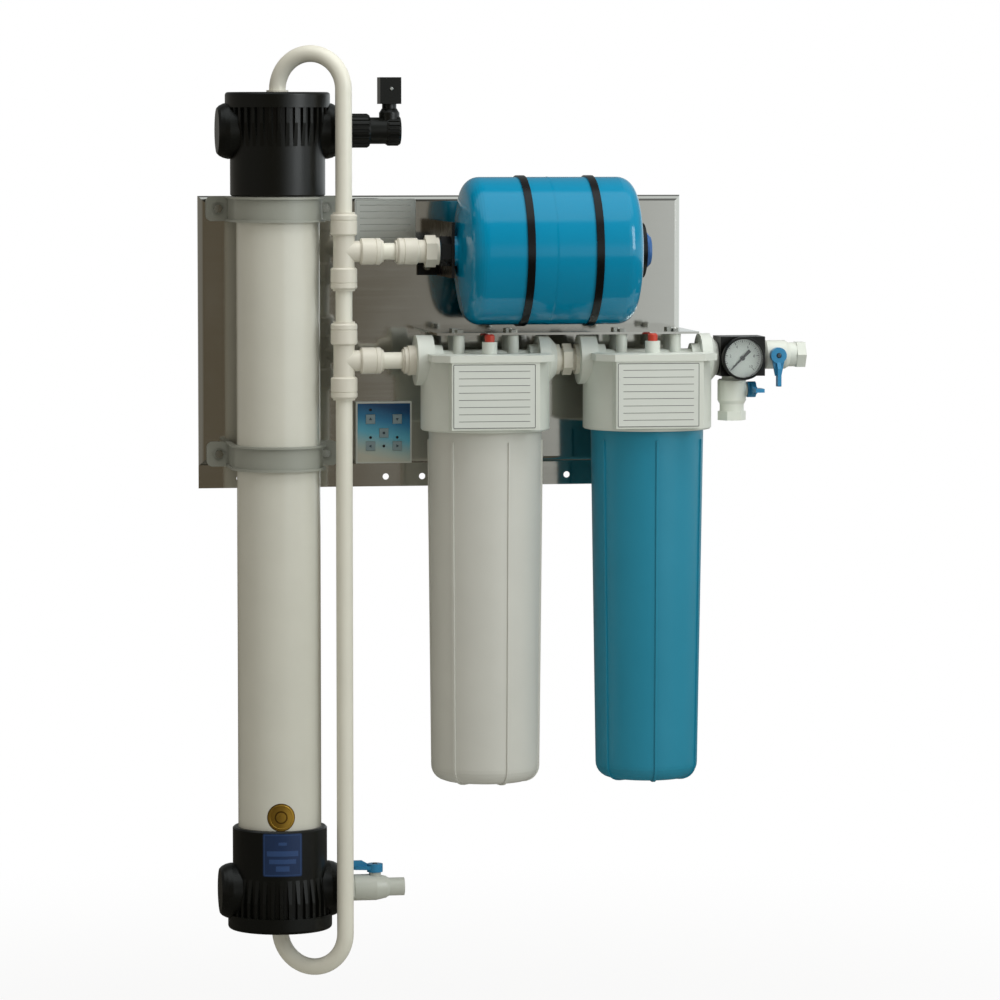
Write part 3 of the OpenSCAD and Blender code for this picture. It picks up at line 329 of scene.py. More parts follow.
def corners(geometry):
    """The vertices among what an operator returns."""
    return [g for g in geometry if isinstance(g, bmesh.types.BMVert)]


def stand_up(bm, verts):
    """Turns what lies flat in the XY plane upright, to face the front."""
    bmesh.ops.rotate(bm, verts=verts, cent=(0, 0, 0), matrix=Matrix.Rotation(math.radians(90), 3, "X"))


def plate(bm, width, height, thick, edge, line, corner=2 * MM):
    """A thin plate in the XZ plane with its front at y = 0 and a printed line (face material 1).

    edge is how far inside the plate's edge the line runs, and line how wide it is.
    """
    bmesh.ops.create_cube(bm, size=1.0)
    bmesh.ops.scale(bm, verts=bm.verts, vec=(width, thick, height))
    bmesh.ops.translate(bm, verts=bm.verts, vec=(0, thick / 2, 0))
    through = [e for e in bm.edges if abs(e.verts[0].co.y - e.verts[1].co.y) > thick / 2]
    bmesh.ops.bevel(bm, geom=through, offset=corner, offset_type="OFFSET", affect="EDGES", segments=5,
                    profile=0.5, material=-1)
    front = [f for f in bm.faces if f.normal.y < -0.9]
    rim = [e for f in front for e in f.edges]
    bmesh.ops.bevel(bm, geom=rim, offset=thick * 0.4, offset_type="OFFSET", affect="EDGES", segments=2,
                    profile=0.5, material=-1)
    front = [f for f in bm.faces if f.normal.y < -0.999]
    bmesh.ops.inset_region(bm, faces=front, thickness=edge)
    ring = bmesh.ops.inset_region(bm, faces=front, thickness=line)["faces"]
    for face in ring:
        face.material_index = 1


def rule(bm, width, z, tall):
    """One printed line at height z on a plate's front (face material 1)."""
    proud = 0.05 * MM
    sunk = 0.01 * MM
    line = bmesh.ops.create_cube(bm, size=1.0)["verts"]
    bmesh.ops.scale(bm, verts=line, vec=(width, proud + sunk, tall))
    bmesh.ops.translate(bm, verts=line, vec=(0, (sunk - proud) / 2, z))
    for face in {f for v in line for f in v.link_faces}:
        face.material_index = 1


def even_rules(bm, count, width, height, tall):
    """Printed lines, spaced evenly over a plate's height."""
    for i in range(1, count + 1):
        rule(bm, width, height * (0.5 - i / (count + 1)), tall)


def wrap_on_tube(bm, axis, radius, turn, z):
    """Bends a flat piece in the XZ plane round a vertical tube, its middle turned from the front."""
    for v in bm.verts:
        a = turn + v.co.x / radius
        r = radius - v.co.y
        v.co = Vector((axis.x + r * math.sin(a), axis.y - r * math.cos(a), z + v.co.z))


class UNIT_OT_stage(bpy.types.Operator):
    """Pale floor, studio light and the camera at the photograph's angle"""
    bl_idname = "filter_unit.stage"
    bl_label = "Set the stage"

    def execute(self, context):
        scene = context.scene
        scene.view_settings.view_transform = "Standard"
        self.camera(scene)
        self.lamp(scene, "overhead_softbox", (0.4, -0.8, 2.3), (0.1, -0.1, 0.1), 2.2, 1.8, 38.0,
                  mirrored=False)
        self.lamp(scene, "right_softbox", (2.1, -2.6, 1.3), (0.05, -0.1, 0.15), 1.3, 1.8, 39.0,
                  tint=(0.95, 1.0, 1.02))
        self.floor(scene)
        self.room(scene)
        return {"FINISHED"}

    def camera(self, scene):
        """A long lens, to the left of the unit's front and a little above it."""
        data = bpy.data.cameras.new("camera")
        data.lens = 180.0
        data.sensor_width = 36.0
        data.clip_end = 60.0
        view = bpy.data.objects.new("camera", data)
        scene.collection.objects.link(view)
        yaw = math.radians(9.3)
        pitch = math.radians(4.4)
        away = 6.6
        aim = Vector((0.0607, -0.127, -0.0237))
        back = Vector((-math.sin(yaw) * math.cos(pitch), -math.cos(yaw) * math.cos(pitch), math.sin(pitch)))
        view.location = aim + back * away
        view.rotation_euler = (-back).to_track_quat("-Z", "Y").to_euler()
        scene.camera = view

    def lamp(self, scene, name, place, aim, width, height, watts, mirrored=True, tint=(1.0, 1.0, 1.0)):
        """A softbox turned to its aim. One that isn't mirrored leaves no highlight."""
        data = bpy.data.lights.new(name, "AREA")
        data.shape = "RECTANGLE"
        data.size = width
        data.size_y = height
        data.energy = watts
        data.color = tint
        lamp = bpy.data.objects.new(name, data)
        scene.collection.objects.link(lamp)
        lamp.visible_glossy = mirrored
        lamp.location = place
        lamp.rotation_euler = (Vector(aim) - Vector(place)).to_track_quat("-Z", "Y").to_euler()

    def floor(self, scene):
        """Seamless paper, which the unit hangs clear of."""
        gap = 0.16
        reach = 9.0
        bm = bmesh.new()
        bmesh.ops.create_grid(bm, x_segments=4, y_segments=4, size=reach)
        bmesh.ops.translate(bm, verts=bm.verts, vec=(0, 0, CAD_BOX[0].z - gap))
        mesh = bpy.data.meshes.new("floor")
        bm.to_mesh(mesh)
        bm.free()
        floor = bpy.data.objects.new("floor", mesh)
        scene.collection.objects.link(floor)
        # white paper: matt, pure white to the camera from about 2 m out, with a trace of shadow nearer
        mat, tree, out = start_material("studio_paper")
        path = add(tree, "ShaderNodeLightPath")
        # steel and gloss mirror the paper as the dim floor of the room
        tone = add(tree, "ShaderNodeMix", {"data_type": "RGBA", "A": srgb("#cfcfcb"), "B": srgb("#5a5952")},
                   {"Factor": path.outputs["Is Glossy Ray"]})
        paper = add(tree, "ShaderNodeBsdfDiffuse", {}, {"Color": tone.outputs["Result"]})
        glow = add(tree, "ShaderNodeEmission", {"Color": (1, 1, 1, 1), "Strength": 1.0})
        seen = add(tree, "ShaderNodeMath", {"operation": "ADD"},
                   {0: path.outputs["Is Camera Ray"], 1: path.outputs["Is Transmission Ray"]})
        place = add(tree, "ShaderNodeTexCoord")
        far = add(tree, "ShaderNodeVectorMath", {"operation": "LENGTH"}, {0: place.outputs["Object"]})
        white = add(tree, "ShaderNodeMapRange",
                    {"interpolation_type": "SMOOTHSTEP", "From Min": 0.85, "From Max": 2.2, "To Min": 0.9},
                    {"Value": far.outputs["Value"]})
        share = add(tree, "ShaderNodeMath", {"operation": "MULTIPLY"},
                    {0: seen.outputs["Value"], 1: white.outputs["Result"]})
        both = add(tree, "ShaderNodeMixShader", {},
                   {0: share.outputs["Value"], 1: paper.outputs["BSDF"], 2: glow.outputs["Emission"]})
        # far out the mirrored paper melts into the room's tone
        rim = add(tree, "ShaderNodeMapRange",
                  {"interpolation_type": "SMOOTHSTEP", "From Min": 2.5, "From Max": 7.0},
                  {"Value": far.outputs["Value"]})
        melt = add(tree, "ShaderNodeMath", {"operation": "MULTIPLY"},
                   {0: rim.outputs["Result"], 1: path.outputs["Is Glossy Ray"]})
        dusk = add(tree, "ShaderNodeEmission", {"Color": srgb(ROOM_TONE)})
        whole = add(tree, "ShaderNodeMixShader", {},
                    {0: melt.outputs["Value"], 1: both.outputs["Shader"], 2: dusk.outputs["Emission"]})
        tree.links.new(whole.outputs["Shader"], out.inputs["Surface"])
        mesh.materials.append(mat)

    def room(self, scene):
        """White behind, and a dim studio whose ceiling and right wall are lit, for the steel to mirror."""
        world = bpy.data.worlds.new("studio")
        world.use_nodes = True
        tree = world.node_tree
        tree.nodes.clear()
        out = add(tree, "ShaderNodeOutputWorld")
        way = add(tree, "ShaderNodeTexCoord")
        axes = add(tree, "ShaderNodeSeparateXYZ", {}, {"Vector": way.outputs["Generated"]})
        # each soft edge in the room: its axis, where it starts and ends, and the level at either end
        edges = {
            "side": ("X", 0.118, 0.245, 0.0, 1.0),
            "fall": ("Z", 0.3, 0.0, 0.3, 1.0),
            "left": ("X", -0.25, -0.9, 0.0, 0.12),
            "above": ("Z", 0.68, 0.77, 0.0, 0.85),
            "ahead": ("Y", 0.36, 0.2, 0.0, 1.0),
            "behind": ("Y", 0.3, 0.95, 0.0, 0.17),
            "high": ("Z", 0.04, 0.25, 0.0, 1.0),
        }
        level = {}
        for name, (axis, start, end, first, last) in edges.items():
            edge = add(tree, "ShaderNodeMapRange",
                       {"interpolation_type": "SMOOTHSTEP", "From Min": start, "From Max": end,
                        "To Min": first, "To Max": last},
                       {"Value": axes.outputs[axis]})
            level[name] = edge.outputs["Result"]
        right = add(tree, "ShaderNodeMath", {"operation": "MULTIPLY"}, {0: level["side"], 1: level["fall"]})
        ceiling = add(tree, "ShaderNodeMath", {"operation": "MULTIPLY"},
                      {0: level["above"], 1: level["ahead"]})
        walls = add(tree, "ShaderNodeMath", {"operation": "MAXIMUM"},
                    {0: right.outputs["Value"], 1: level["left"]})
        rest = add(tree, "ShaderNodeMath", {"operation": "MAXIMUM"},
                   {0: ceiling.outputs["Value"], 1: level["behind"]})
        lit = add(tree, "ShaderNodeMath", {"operation": "MAXIMUM"},
                  {0: walls.outputs["Value"], 1: rest.outputs["Value"]})
        dim = add(tree, "ShaderNodeMix", {"data_type": "RGBA", "A": srgb(ROOM_TONE), "B": srgb("#35322c")},
                  {"Factor": level["high"]})
        mirrored = add(tree, "ShaderNodeMix", {"data_type": "RGBA", "B": (1.02, 1.09, 1.1, 1)},
                       {"Factor": lit.outputs["Value"], "A": dim.outputs["Result"]})
        path = add(tree, "ShaderNodeLightPath")
        fill = add(tree, "ShaderNodeMix", {"data_type": "RGBA", "A": (0.41, 0.385, 0.345, 1)},
                   {"Factor": path.outputs["Is Glossy Ray"], "B": mirrored.outputs["Result"]})
        seen = add(tree, "ShaderNodeMath", {"operation": "ADD", "use_clamp": True},
                   {0: path.outputs["Is Camera Ray"], 1: path.outputs["Is Transmission Ray"]})
        shown = add(tree, "ShaderNodeMix", {"data_type": "RGBA", "B": (1, 1, 1, 1)},
                    {"Factor": seen.outputs["Value"], "A": fill.outputs["Result"]})
        back = add(tree, "ShaderNodeBackground", {"Strength": 1.0}, {"Color": shown.outputs["Result"]})
        tree.links.new(back.outputs["Background"], out.inputs["Surface"])
        scene.world = world


class UNIT_OT_finishes(bpy.types.Operator):
    """Gives every CAD node its finish"""
    bl_idname = "filter_unit.finishes"
    bl_label = "Finish the CAD nodes"

    def execute(self, context):
        c, _ = settings()
        low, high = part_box("keypad_overlay")
        by_finish = [
            # stainless sheet: a soft mirror; rolled lines are 0.2 mm apart, drawn at 3 mm so that they show
            (sheet_metal("rolled_stainless", c.steel, 0.05, 0.11, (6, 330, 330)),
             ["back_panel", "filter_bracket"]),
            # zinc plate: a grey, slightly uneven shine
            (sheet_metal("zinc_plated_steel", c.zinc, 0.18, 0.3, (120, 120, 120)), ["screws"]),
            # polypropylene from the mould: satin, with broad soft highlights
            (moulded("moulded_polypropylene", c.head, 0.4, grain=1.3), ["carbon_head", "sediment_head"]),
            (moulded("white_polypropylene", c.white_bowl, 0.38, grain=1.3), ["carbon_sump"]),
            (moulded("blue_polypropylene", c.blue_bowl, 0.36, grain=1.3, tone=0.06), ["sediment_sump"]),
            # extruded vinyl: smooth, with one clear upright highlight
            (moulded("extruded_vinyl", c.tube, 0.14, ior=1.53, grain=3.0), ["vessel_tube"]),
            # natural polyethylene: a waxy warm white
            (moulded("polyethylene_pipe", c.pipe, 0.36, ior=1.51, grain=2.0),
             ["arch_pipe", "link_pipes", "riser_pipe"]),
            # acetal: a creamy white with a slippery shine
            (moulded("moulded_acetal", c.fitting, 0.34, ior=1.48, grain=1.4),
             ["upper_tee", "lower_tee", "pipe_collets", "tank_adapter", "tank_union_nut",
              "filter_nipples", "filter_port_adapter"]),
            # vinyl valve bodies: a glossy white on the inlet valve; the same vinyl painted lighter on the
            # bleed valve, a painted light, and painted greyer on the low drain valve, a painted shade
            (moulded("moulded_vinyl", c.valve, 0.3, ior=1.53), ["inlet_valve_body"]),
            # the bleed valve's body: the inlet's vinyl painted lighter, as painted light
            (moulded("vinyl_painted_lighter", srgb("#ecf1e7"), 0.3, ior=1.53), ["bleed_valve_body"]),
            # the drain valve's body: the same vinyl painted greyer, a painted shade for the dimmer light low
            # down
            (moulded("vinyl_painted_shade", srgb("#c6cac1"), 0.34, ior=1.53), ["drain_valve_body"]),
            # dyed nylon: an even blue with a light sheen
            (moulded("blue_nylon", c.lever, 0.3, ior=1.53, tone=0.08),
             ["inlet_lever", "bleed_lever", "drain_lever"]),
            # glass-filled nylon: black, with a dull sheen over a visible grain
            (moulded("black_glass_filled_nylon", c.black, 0.34, ior=1.44, grain=1.6, depth=0.03, tone=0.15),
             ["inlet_manifold", "gauge_case", "top_head", "bottom_head", "end_covers",
              "solenoid_valve_body", "solenoid_coil", "tank_air_valve"]),
            (natural_polypropylene("natural_polypropylene", c.clamp), ["vessel_clamps"]),
            # moulded rubber: dark grey and matt
            (moulded("moulded_rubber", srgb("#262724"), 0.72, ior=1.52, grain=2.0, depth=0.06, tone=0.1),
             ["vessel_saddles", "tank_saddles", "o_rings", "tank_diaphragm"]),
            (baked_enamel("baked_enamel", c.tank), ["tank_shell"]),
            # powder coat: deep black with a satin shine
            (moulded("black_powder_coat", srgb("#030405"), 0.27, ior=1.48, grain=1.2, depth=0.03),
             ["tank_bracket", "tank_straps"]),
            # dyed polypropylene: a deep blue with a light sheen
            (moulded("blue_cap_polypropylene", srgb("#2d5f9e"), 0.3, tone=0.08), ["tank_cap"]),
            (spun_fibre("membrane_wrap", srgb("#e4e1d4"), 6.0), ["membrane_element"]),
            (spun_fibre("wound_filter_fibre", srgb("#e9e7dd"), 4.0),
             ["carbon_cartridge", "sediment_cartridge"]),
            # chrome on brass: a near mirror
            (sheet_metal("chromed_brass", srgb("#cdd0d0"), 0.05, 0.12, (60, 60, 60)),
             ["inlet_ball", "bleed_ball", "drain_ball"]),
            # PTFE: a waxy white
            (moulded("ptfe", srgb("#eceae4"), 0.4, ior=1.38), ["valve_seats"]),
            # baked dial and needle enamels: flat pale grey, and near black
            (moulded("dial_enamel", srgb("#e2e7e1"), 0.45, ior=1.5, grain=0.8), ["gauge_dial"]),
            (clear_lens("acrylic_window"), ["gauge_lens"]),
            (moulded("pointer_enamel", srgb("#171817"), 0.4, grain=0.6), ["gauge_pointer"]),
            # ABS from the mould: glossy red buttons, and a pale grey housing with less shine
            (moulded("red_abs", c.button, 0.28, ior=1.53, tone=0.08),
             ["carbon_relief_button", "sediment_relief_button"]),
            (moulded("grey_abs", srgb("#d5d9d2"), 0.42, ior=1.53), ["keypad_housing"]),
            (printed_fade("printed_polyester", low, high, c), ["keypad_overlay"]),
            # domed polyester film: pale blue-grey under a gloss
            (moulded("domed_key_film", srgb("#93a9b0"), 0.26, ior=1.57),
             ["keypad_key_%d" % i for i in range(1, 6)]),
        ]
        for mat, names in by_finish:
            for name in names:
                node = frame["nodes"][name]
                node.data.materials.clear()
                node.data.materials.append(mat)
        return {"FINISHED"}


class UNIT_OT_head_labels(bpy.types.Operator):
    """Bare label plates on the two filter heads"""
    bl_idname = "filter_unit.head_labels"
    bl_label = "Label the filter heads"

    def execute(self, context):
        _, sizes = settings()
        # label film: smooth white with a soft gloss, printed in a flat grey ink
        film = moulded("white_label_film", srgb("#d6dbd5"), 0.3, ior=1.57, grain=0.9, tone=0.03)
        ink = moulded("grey_label_ink", srgb("#50534f"), 0.45, grain=0.9)
        thick = 0.5 * MM
        # a head's front face stands 1.5 mm behind its foremost edge, its middle 48.5 mm above its foot
        face_back = 1.5 * MM
        face_rise = 48.5 * MM
        # the label sits a little left of the face's middle
        shift = -2 * MM
        for name in ("carbon", "sediment"):
            low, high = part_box(name + "_head")
            bm = bmesh.new()
            plate(bm, sizes.label_w, sizes.label_h, thick, 0.2 * MM, 0.9 * MM)
            even_rules(bm, 8, sizes.label_w * 0.86, sizes.label_h, 0.7 * MM)
            place = ((low.x + high.x) / 2 + shift, low.y + face_back - thick, low.z + face_rise)
            bmesh.ops.translate(bm, verts=bm.verts, vec=place)
            finish_piece(name + "_head_label", bm, [film, ink])
        return {"FINISHED"}


class UNIT_OT_spec_plate(bpy.types.Operator):
    """Bare foil data plate on the panel, left of the tank"""
    bl_idname = "filter_unit.spec_plate"
    bl_label = "Stick on the data plate"

    def execute(self, context):
        # brushed foil: a broad dull shine; its lines are 0.1 mm apart, drawn at 2 mm so that they show
        foil = sheet_metal("brushed_aluminium_foil", srgb("#e4e6e0"), 0.32, 0.5, (20, 500, 500))
        # printing ink: flat grey
        ink = moulded("grey_foil_ink", srgb("#9a9c96"), 0.45, grain=0.9)
        width = 82 * MM
        height = 60 * MM
        thick = 0.3 * MM
        # where the plate's middle is, across from the origin and down from the panel's top
        middle_x = -75.5 * MM
        under_top = 34.2 * MM
        low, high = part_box("back_panel")
        bm = bmesh.new()
        plate(bm, width, height, thick, 1.2 * MM, 0.8 * MM)
        even_rules(bm, 6, 68 * MM, height, 1.0 * MM)
        bmesh.ops.translate(bm, verts=bm.verts, vec=(middle_x, low.y - thick, high.z - under_top))
        finish_piece("data_plate", bm, [foil, ink])
        return {"FINISHED"}


class UNIT_OT_vessel_labels(bpy.types.Operator):
    """Gilt seal on the vessel tube and bare blue label on the lower collar"""
    bl_idname = "filter_unit.vessel_labels"
    bl_label = "Label the vessel"

    def execute(self, context):
        _, sizes = settings()
        low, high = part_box("vessel_tube")
        axis = (low + high) / 2
        self.seal(sizes, axis, (high.x - low.x) / 2)
        self.collar_label(axis)
        return {"FINISHED"}

    def seal(self, sizes, axis, tube_r):
        """A stamped round foil, turned a little left of the tube's front."""
        # gilt foil: a soft gold shine, and a dull brown one on two of its rings
        gilt = sheet_metal("gilt_foil", srgb("#d1a447"), 0.35, 0.55, (300, 300, 300))
        dull = sheet_metal("dull_gilt_foil", srgb("#755722"), 0.45, 0.65, (300, 300, 300))
        face_y = -0.25 * MM
        bead_y = -0.45 * MM
        turn = math.radians(-5)
        bm = bmesh.new()
        bmesh.ops.create_circle(bm, cap_ends=True, segments=72, radius=sizes.seal_r)
        # from the edge inwards: a dull rim, a raised bead and a dull inner ring
        for r, tone in ((0.94, 1), (0.88, 0), (0.86, 0), (0.8, 0), (0.78, 0), (0.46, 0), (0.36, 1)):
            disc = [f for f in bm.faces if len(f.verts) > 8]
            width = max(v.co.length for v in disc[0].verts) - r * sizes.seal_r
            ring = bmesh.ops.inset_region(bm, faces=disc, thickness=width, use_boundary=True)["faces"]
            for face in ring:
                face.material_index = tone
        stand_up(bm, bm.verts)
        for v in bm.verts:
            reach = math.hypot(v.co.x, v.co.z) / sizes.seal_r
            v.co.y = bead_y if 0.79 < reach < 0.87 else face_y
        self.slice_upright(bm, sizes.seal_r)
        wall = bmesh.ops.extrude_face_region(bm, geom=list(bm.faces))["geom"]
        for v in corners(wall):
            v.co.y = 0.0
        wrap_on_tube(bm, axis, tube_r, turn, sizes.seal_z)
        finish_piece("gilt_seal", bm, [gilt, dull])

    def collar_label(self, axis):
        """A bare label with plain bars, bent round the lower collar."""
        # label film: dark blue with a satin face, printed in a paler blue ink
        blue = moulded("blue_label_film", srgb("#172f55"), 0.36, ior=1.5, grain=0.9, tone=0.08)
        ink = moulded("pale_label_ink", srgb("#2b4775"), 0.36, grain=0.9)
        _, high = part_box("bottom_head")
        collar_r = 62.5 * MM
        thick = 0.3 * MM
        turn = math.radians(-3.5)
        under_top = 31 * MM
        bm = bmesh.new()
        plate(bm, 53 * MM, 57 * MM, thick, 1.5 * MM, 0.8 * MM, corner=2.5 * MM)
        # each bar's width, its height on the label and its thickness, in millimetres
        for width, z, tall in ((11, 15, 4), (42, 2, 7), (36, -8.5, 6), (18, -18, 7)):
            rule(bm, width * MM, z * MM, tall * MM)
        self.slice_upright(bm, 26 * MM)
        bmesh.ops.translate(bm, verts=bm.verts, vec=(0, -thick, 0))
        wrap_on_tube(bm, axis, collar_r, turn, high.z - under_top)
        finish_piece("collar_label", bm, [blue, ink])

    def slice_upright(self, bm, reach):
        """Cuts a flat piece every 2 mm across its width, so that it can follow a tube's curve."""
        step = 2 * MM
        count = int(reach / step)
        for k in range(-count, count + 1):
            bmesh.ops.bisect_plane(bm, geom=bm.verts[:] + bm.edges[:] + bm.faces[:],
                                   plane_co=(k * step, 0, 0), plane_no=(1, 0, 0))


class UNIT_OT_dial_print(bpy.types.Operator):
    """Scale marks and plain numbers on the gauge dial"""
    bl_idname = "filter_unit.dial_print"
    bl_label = "Print the gauge dial"

    def execute(self, context):
        _, sizes = settings()
        low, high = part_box("gauge_dial")
        mid = (low + high) / 2
        r = (high.x - low.x) / 2
        # printing ink: flat near-black
        ink = moulded("black_dial_ink", srgb("#242624"), 0.5, grain=0.6)
        ink_deep = 0.08 * MM
        first = math.radians(225)
        steps = 40
        bm = bmesh.new()
        # a long mark at each number, a middling one half way and short ones between
        for i in range(steps + 1):
            a = first - sizes.dial_span * i / steps
            long = 4.0 * MM if i % 8 == 0 else (2.8 * MM if i % 4 == 0 else 1.6 * MM)
            thin = 0.7 * MM if i % 4 == 0 else 0.4 * MM
            mark = bmesh.ops.create_cube(bm, size=1.0)["verts"]
            bmesh.ops.scale(bm, verts=mark, vec=(long, ink_deep, thin))
            bmesh.ops.translate(bm, verts=mark, vec=(r * 0.92 - long / 2, 0, 0))
            bmesh.ops.rotate(bm, verts=mark, cent=(0, 0, 0), matrix=Matrix.Rotation(-a, 3, "Y"))
        for value in range(0, 11, 2):
            a = first - sizes.dial_span * value / 10
            self.number(bm, str(value), 5.2 * MM, r * 0.64 * math.cos(a), r * 0.64 * math.sin(a))
        bmesh.ops.translate(bm, verts=bm.verts, vec=(mid.x, low.y - ink_deep / 2, mid.z))
        finish_piece("dial_marks", bm, [ink])
        return {"FINISHED"}

    def number(self, bm, text, size, x, z):
        """One plain number as a mesh, centred at x, z."""
        curve = bpy.data.curves.new("number", "FONT")
        curve.body = text
        curve.size = size
        curve.align_x = "CENTER"
        curve.align_y = "CENTER"
        curve.extrude = 0.04 * MM
        curve.resolution_u = 3
        holder = bpy.data.objects.new("number", curve)
        bpy.context.scene.collection.objects.link(holder)
        bpy.context.view_layer.update()
        mesh = bpy.data.meshes.new_from_object(holder.evaluated_get(bpy.context.evaluated_depsgraph_get()))
        mesh.transform(Matrix.Translation((x, 0, z)) @ Matrix.Rotation(math.radians(90), 4, "X"))
        bm.from_mesh(mesh)
        bpy.data.objects.remove(holder)
        bpy.data.curves.remove(curve)
        bpy.data.meshes.remove(mesh)


class UNIT_OT_keypad_print(bpy.types.Operator):
    """Signal lamps on the keypad film and plain marks on its keys"""
    bl_idname = "filter_unit.keypad_print"
    bl_label = "Print the keypad"

    def execute(self, context):
        low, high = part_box("keypad_overlay")
        mid = (low + high) / 2
        # smoked lamp window: near-black gloss
        lamp = moulded("smoked_lamp_window", srgb("#141b22"), 0.15, ior=1.49, grain=0.6)
        lamp_r = 1.9 * MM
        lamp_up = 0.35 * MM
        bm = bmesh.new()
        # where each lamp stands from the film's middle, in millimetres
        for x, z in ((-18, 30.5), (-18, -6.5), (18, -6.5), (0, -18)):
            dot = bmesh.ops.create_circle(bm, cap_ends=True, segments=24, radius=lamp_r)["verts"]
            stand_up(bm, dot)
            bmesh.ops.translate(bm, verts=dot, vec=(mid.x + x * MM, low.y, mid.z + z * MM))
        raised = bmesh.ops.extrude_face_region(bm, geom=list(bm.faces))["geom"]
        bmesh.ops.translate(bm, verts=corners(raised), vec=(0, -lamp_up, 0))
        tops = [g for g in raised if isinstance(g, bmesh.types.BMFace)]
        bmesh.ops.bevel(bm, geom=[e for f in tops for e in f.edges], offset=0.2 * MM, offset_type="OFFSET",
                        affect="EDGES", segments=2, profile=0.5, material=-1)
        finish_piece("keypad_lamps", bm, [lamp])
        # printing ink: flat dark blue-grey
        ink = moulded("dark_key_ink", srgb("#27404f"), 0.4, grain=0.6)
        # the way each key's arrowhead points, in degrees from the right; the middle key has a dot
        for i, turn in enumerate((90, -90, None, 180, 0), start=1):
            self.key_mark(i, turn, ink)
        return {"FINISHED"}

    def key_mark(self, i, turn, ink):
        """An arrowhead, or a dot on the middle key, printed proud of one key."""
        low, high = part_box("keypad_key_%d" % i)
        mid = (low + high) / 2
        side = (high.x - low.x) / 2
        ink_deep = 0.08 * MM
        bm = bmesh.new()
        if turn is None:
            bmesh.ops.create_circle(bm, cap_ends=True, segments=24, radius=side * 0.3)
        else:
            bmesh.ops.create_circle(bm, cap_ends=True, segments=3, radius=side * 0.42)
            bmesh.ops.rotate(bm, verts=bm.verts, cent=(0, 0, 0),
                             matrix=Matrix.Rotation(math.radians(turn - 90), 3, "Z"))
        raised = bmesh.ops.extrude_face_region(bm, geom=list(bm.faces))["geom"]
        bmesh.ops.translate(bm, verts=corners(raised), vec=(0, 0, ink_deep))
        stand_up(bm, bm.verts)
        bmesh.ops.translate(bm, verts=bm.verts, vec=(mid.x, low.y, mid.z))
        finish_piece("key_mark_%d" % i, bm, [ink], "key_%d" % i)


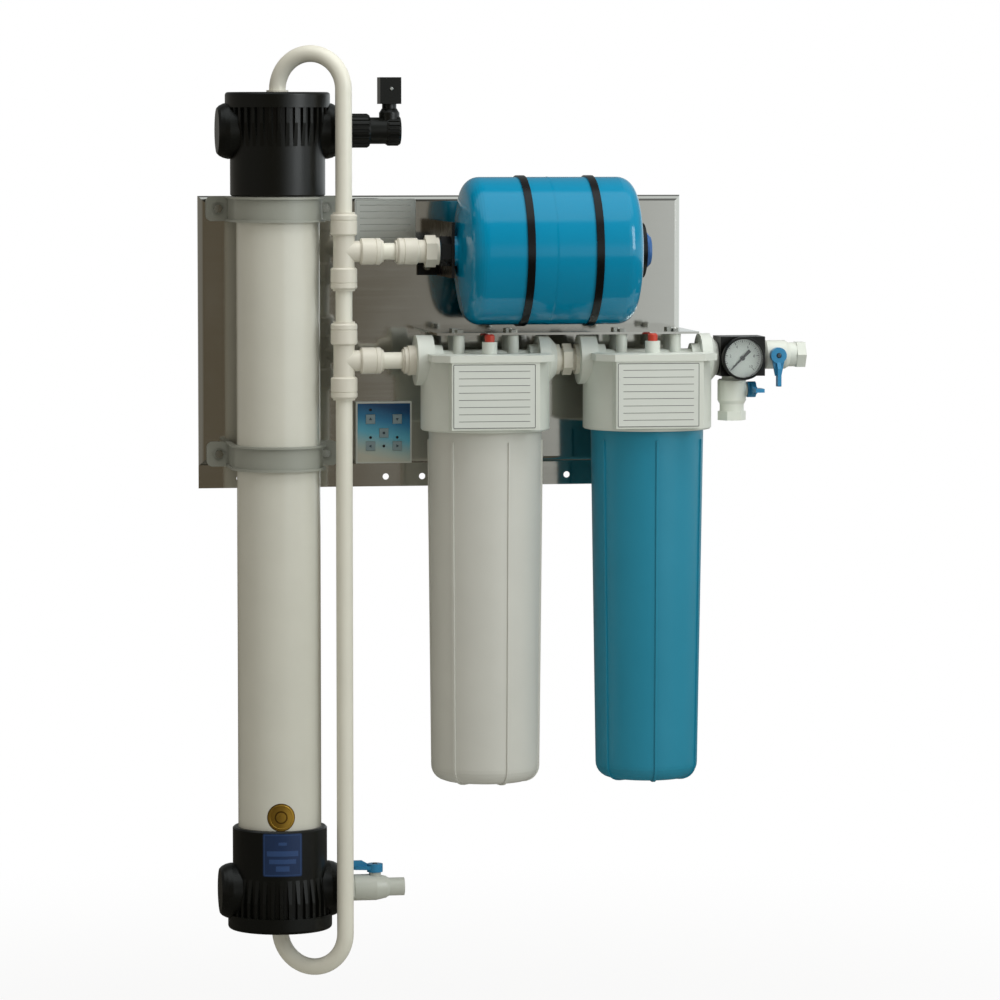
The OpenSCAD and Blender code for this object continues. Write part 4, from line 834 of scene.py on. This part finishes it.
class UNIT_OT_small_screws(bpy.types.Operator):
    """Slotted screws on the lever hubs and the coil"""
    bl_idname = "filter_unit.small_screws"
    bl_label = "Fit the small screws"

    def execute(self, context):
        # screw steel: a small bright glint; the levers' screws are painted dark blue-grey, a painted shade
        # for the recess in each hub
        steel = sheet_metal("screw_steel_finish", srgb("#d4d6d3"), 0.2, 0.35, (400, 400, 400))
        shade_dark_steel = sheet_metal("screw_steel_painted_shade", srgb("#56616a"), 0.15, 0.3, (400, 400, 400))
        # a lever hub's top, from its joint along the joint's axis
        hub_top = 31.4 * MM
        joints = {j["name"]: j for j in frame["joints"]}
        for name in ("inlet", "bleed", "drain"):
            joint = joints[name + "_lever_turn"]
            out = Vector(joint["axis"])
            top = Vector(joint["pos_m"]) + out * hub_top
            self.screw(name + "_lever_screw", top, out, 3.6 * MM, shade_dark_steel, name + "_handle")
        low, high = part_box("solenoid_coil")
        face = Vector(((low.x + high.x) / 2 + 1 * MM, low.y, low.z + 20 * MM))
        self.screw("coil_screw", face, Vector((0, -1, 0)), 2.6 * MM, steel, BASE)
        return {"FINISHED"}

    def screw(self, name, place, out, r, mat, body):
        """A domed, slotted screw head that stands on place and faces along out."""
        deep = 1.2 * MM
        sunk = 0.05 * MM
        slot_deep = 0.5 * MM
        half_slot = r * 0.14
        # a face whose middle is nearer the slot's middle than this sinks with the slot
        near = r * 0.13
        bm = bmesh.new()
        bmesh.ops.create_cone(bm, cap_ends=True, segments=32, radius1=r, radius2=r * 0.8, depth=deep)
        cap = [f for f in bm.faces if f.normal.z > 0.9]
        bmesh.ops.bevel(bm, geom=[e for f in cap for e in f.edges], offset=r * 0.15, offset_type="OFFSET",
                        affect="EDGES", segments=3, profile=0.5, material=-1)
        for s in (-1, 1):
            bmesh.ops.bisect_plane(bm, geom=bm.verts[:] + bm.edges[:] + bm.faces[:],
                                   plane_co=(0, s * half_slot, 0), plane_no=(0, 1, 0))
        slot = [f for f in bm.faces if f.normal.z > 0.9 and abs(f.calc_center_median().y) < near]
        floor = bmesh.ops.extrude_face_region(bm, geom=slot)["geom"]
        bmesh.ops.delete(bm, geom=slot, context="FACES")
        bmesh.ops.translate(bm, verts=corners(floor), vec=(0, 0, -slot_deep))
        turn = Vector((0, 0, 1)).rotation_difference(out).to_matrix()
        bmesh.ops.translate(bm, verts=bm.verts, vec=(0, 0, deep / 2 - sunk))
        bmesh.ops.rotate(bm, verts=bm.verts, cent=(0, 0, 0), matrix=turn)
        bmesh.ops.translate(bm, verts=bm.verts, vec=place)
        finish_piece(name, bm, [mat], body)


class UNIT_PT_panel(bpy.types.Panel):
    """Lists the steps and the settings of the unit"""
    bl_idname = "UNIT_PT_panel"
    bl_label = "Water Filtration Unit"
    bl_space_type = "VIEW_3D"
    bl_region_type = "UI"
    bl_category = "Filter Unit"

    def draw(self, context):
        layout = self.layout
        for step in STEPS:
            layout.operator(step.bl_idname)
        for group in (context.scene.unit_colours, context.scene.unit_sizes):
            for key in group.__annotations__:
                layout.prop(group, key)


STEPS = (UNIT_OT_stage, UNIT_OT_finishes, UNIT_OT_head_labels, UNIT_OT_spec_plate, UNIT_OT_vessel_labels,
         UNIT_OT_dial_print, UNIT_OT_keypad_print, UNIT_OT_small_screws)
CLASSES = (FinishColours, DetailSizes) + STEPS + (UNIT_PT_panel,)


def register():
    for cls in CLASSES:
        bpy.utils.register_class(cls)
    bpy.types.Scene.unit_colours = bpy.props.PointerProperty(type=FinishColours)
    bpy.types.Scene.unit_sizes = bpy.props.PointerProperty(type=DetailSizes)


def unregister():
    del bpy.types.Scene.unit_sizes
    del bpy.types.Scene.unit_colours
    for cls in reversed(CLASSES):
        bpy.utils.unregister_class(cls)


def main():
    register()
    bpy.ops.filter_unit.stage()
    bpy.ops.filter_unit.finishes()
    bpy.ops.filter_unit.head_labels()
    bpy.ops.filter_unit.spec_plate()
    bpy.ops.filter_unit.vessel_labels()
    bpy.ops.filter_unit.dial_print()
    bpy.ops.filter_unit.keypad_print()
    bpy.ops.filter_unit.small_screws()


if __name__ == "__main__":
    main()
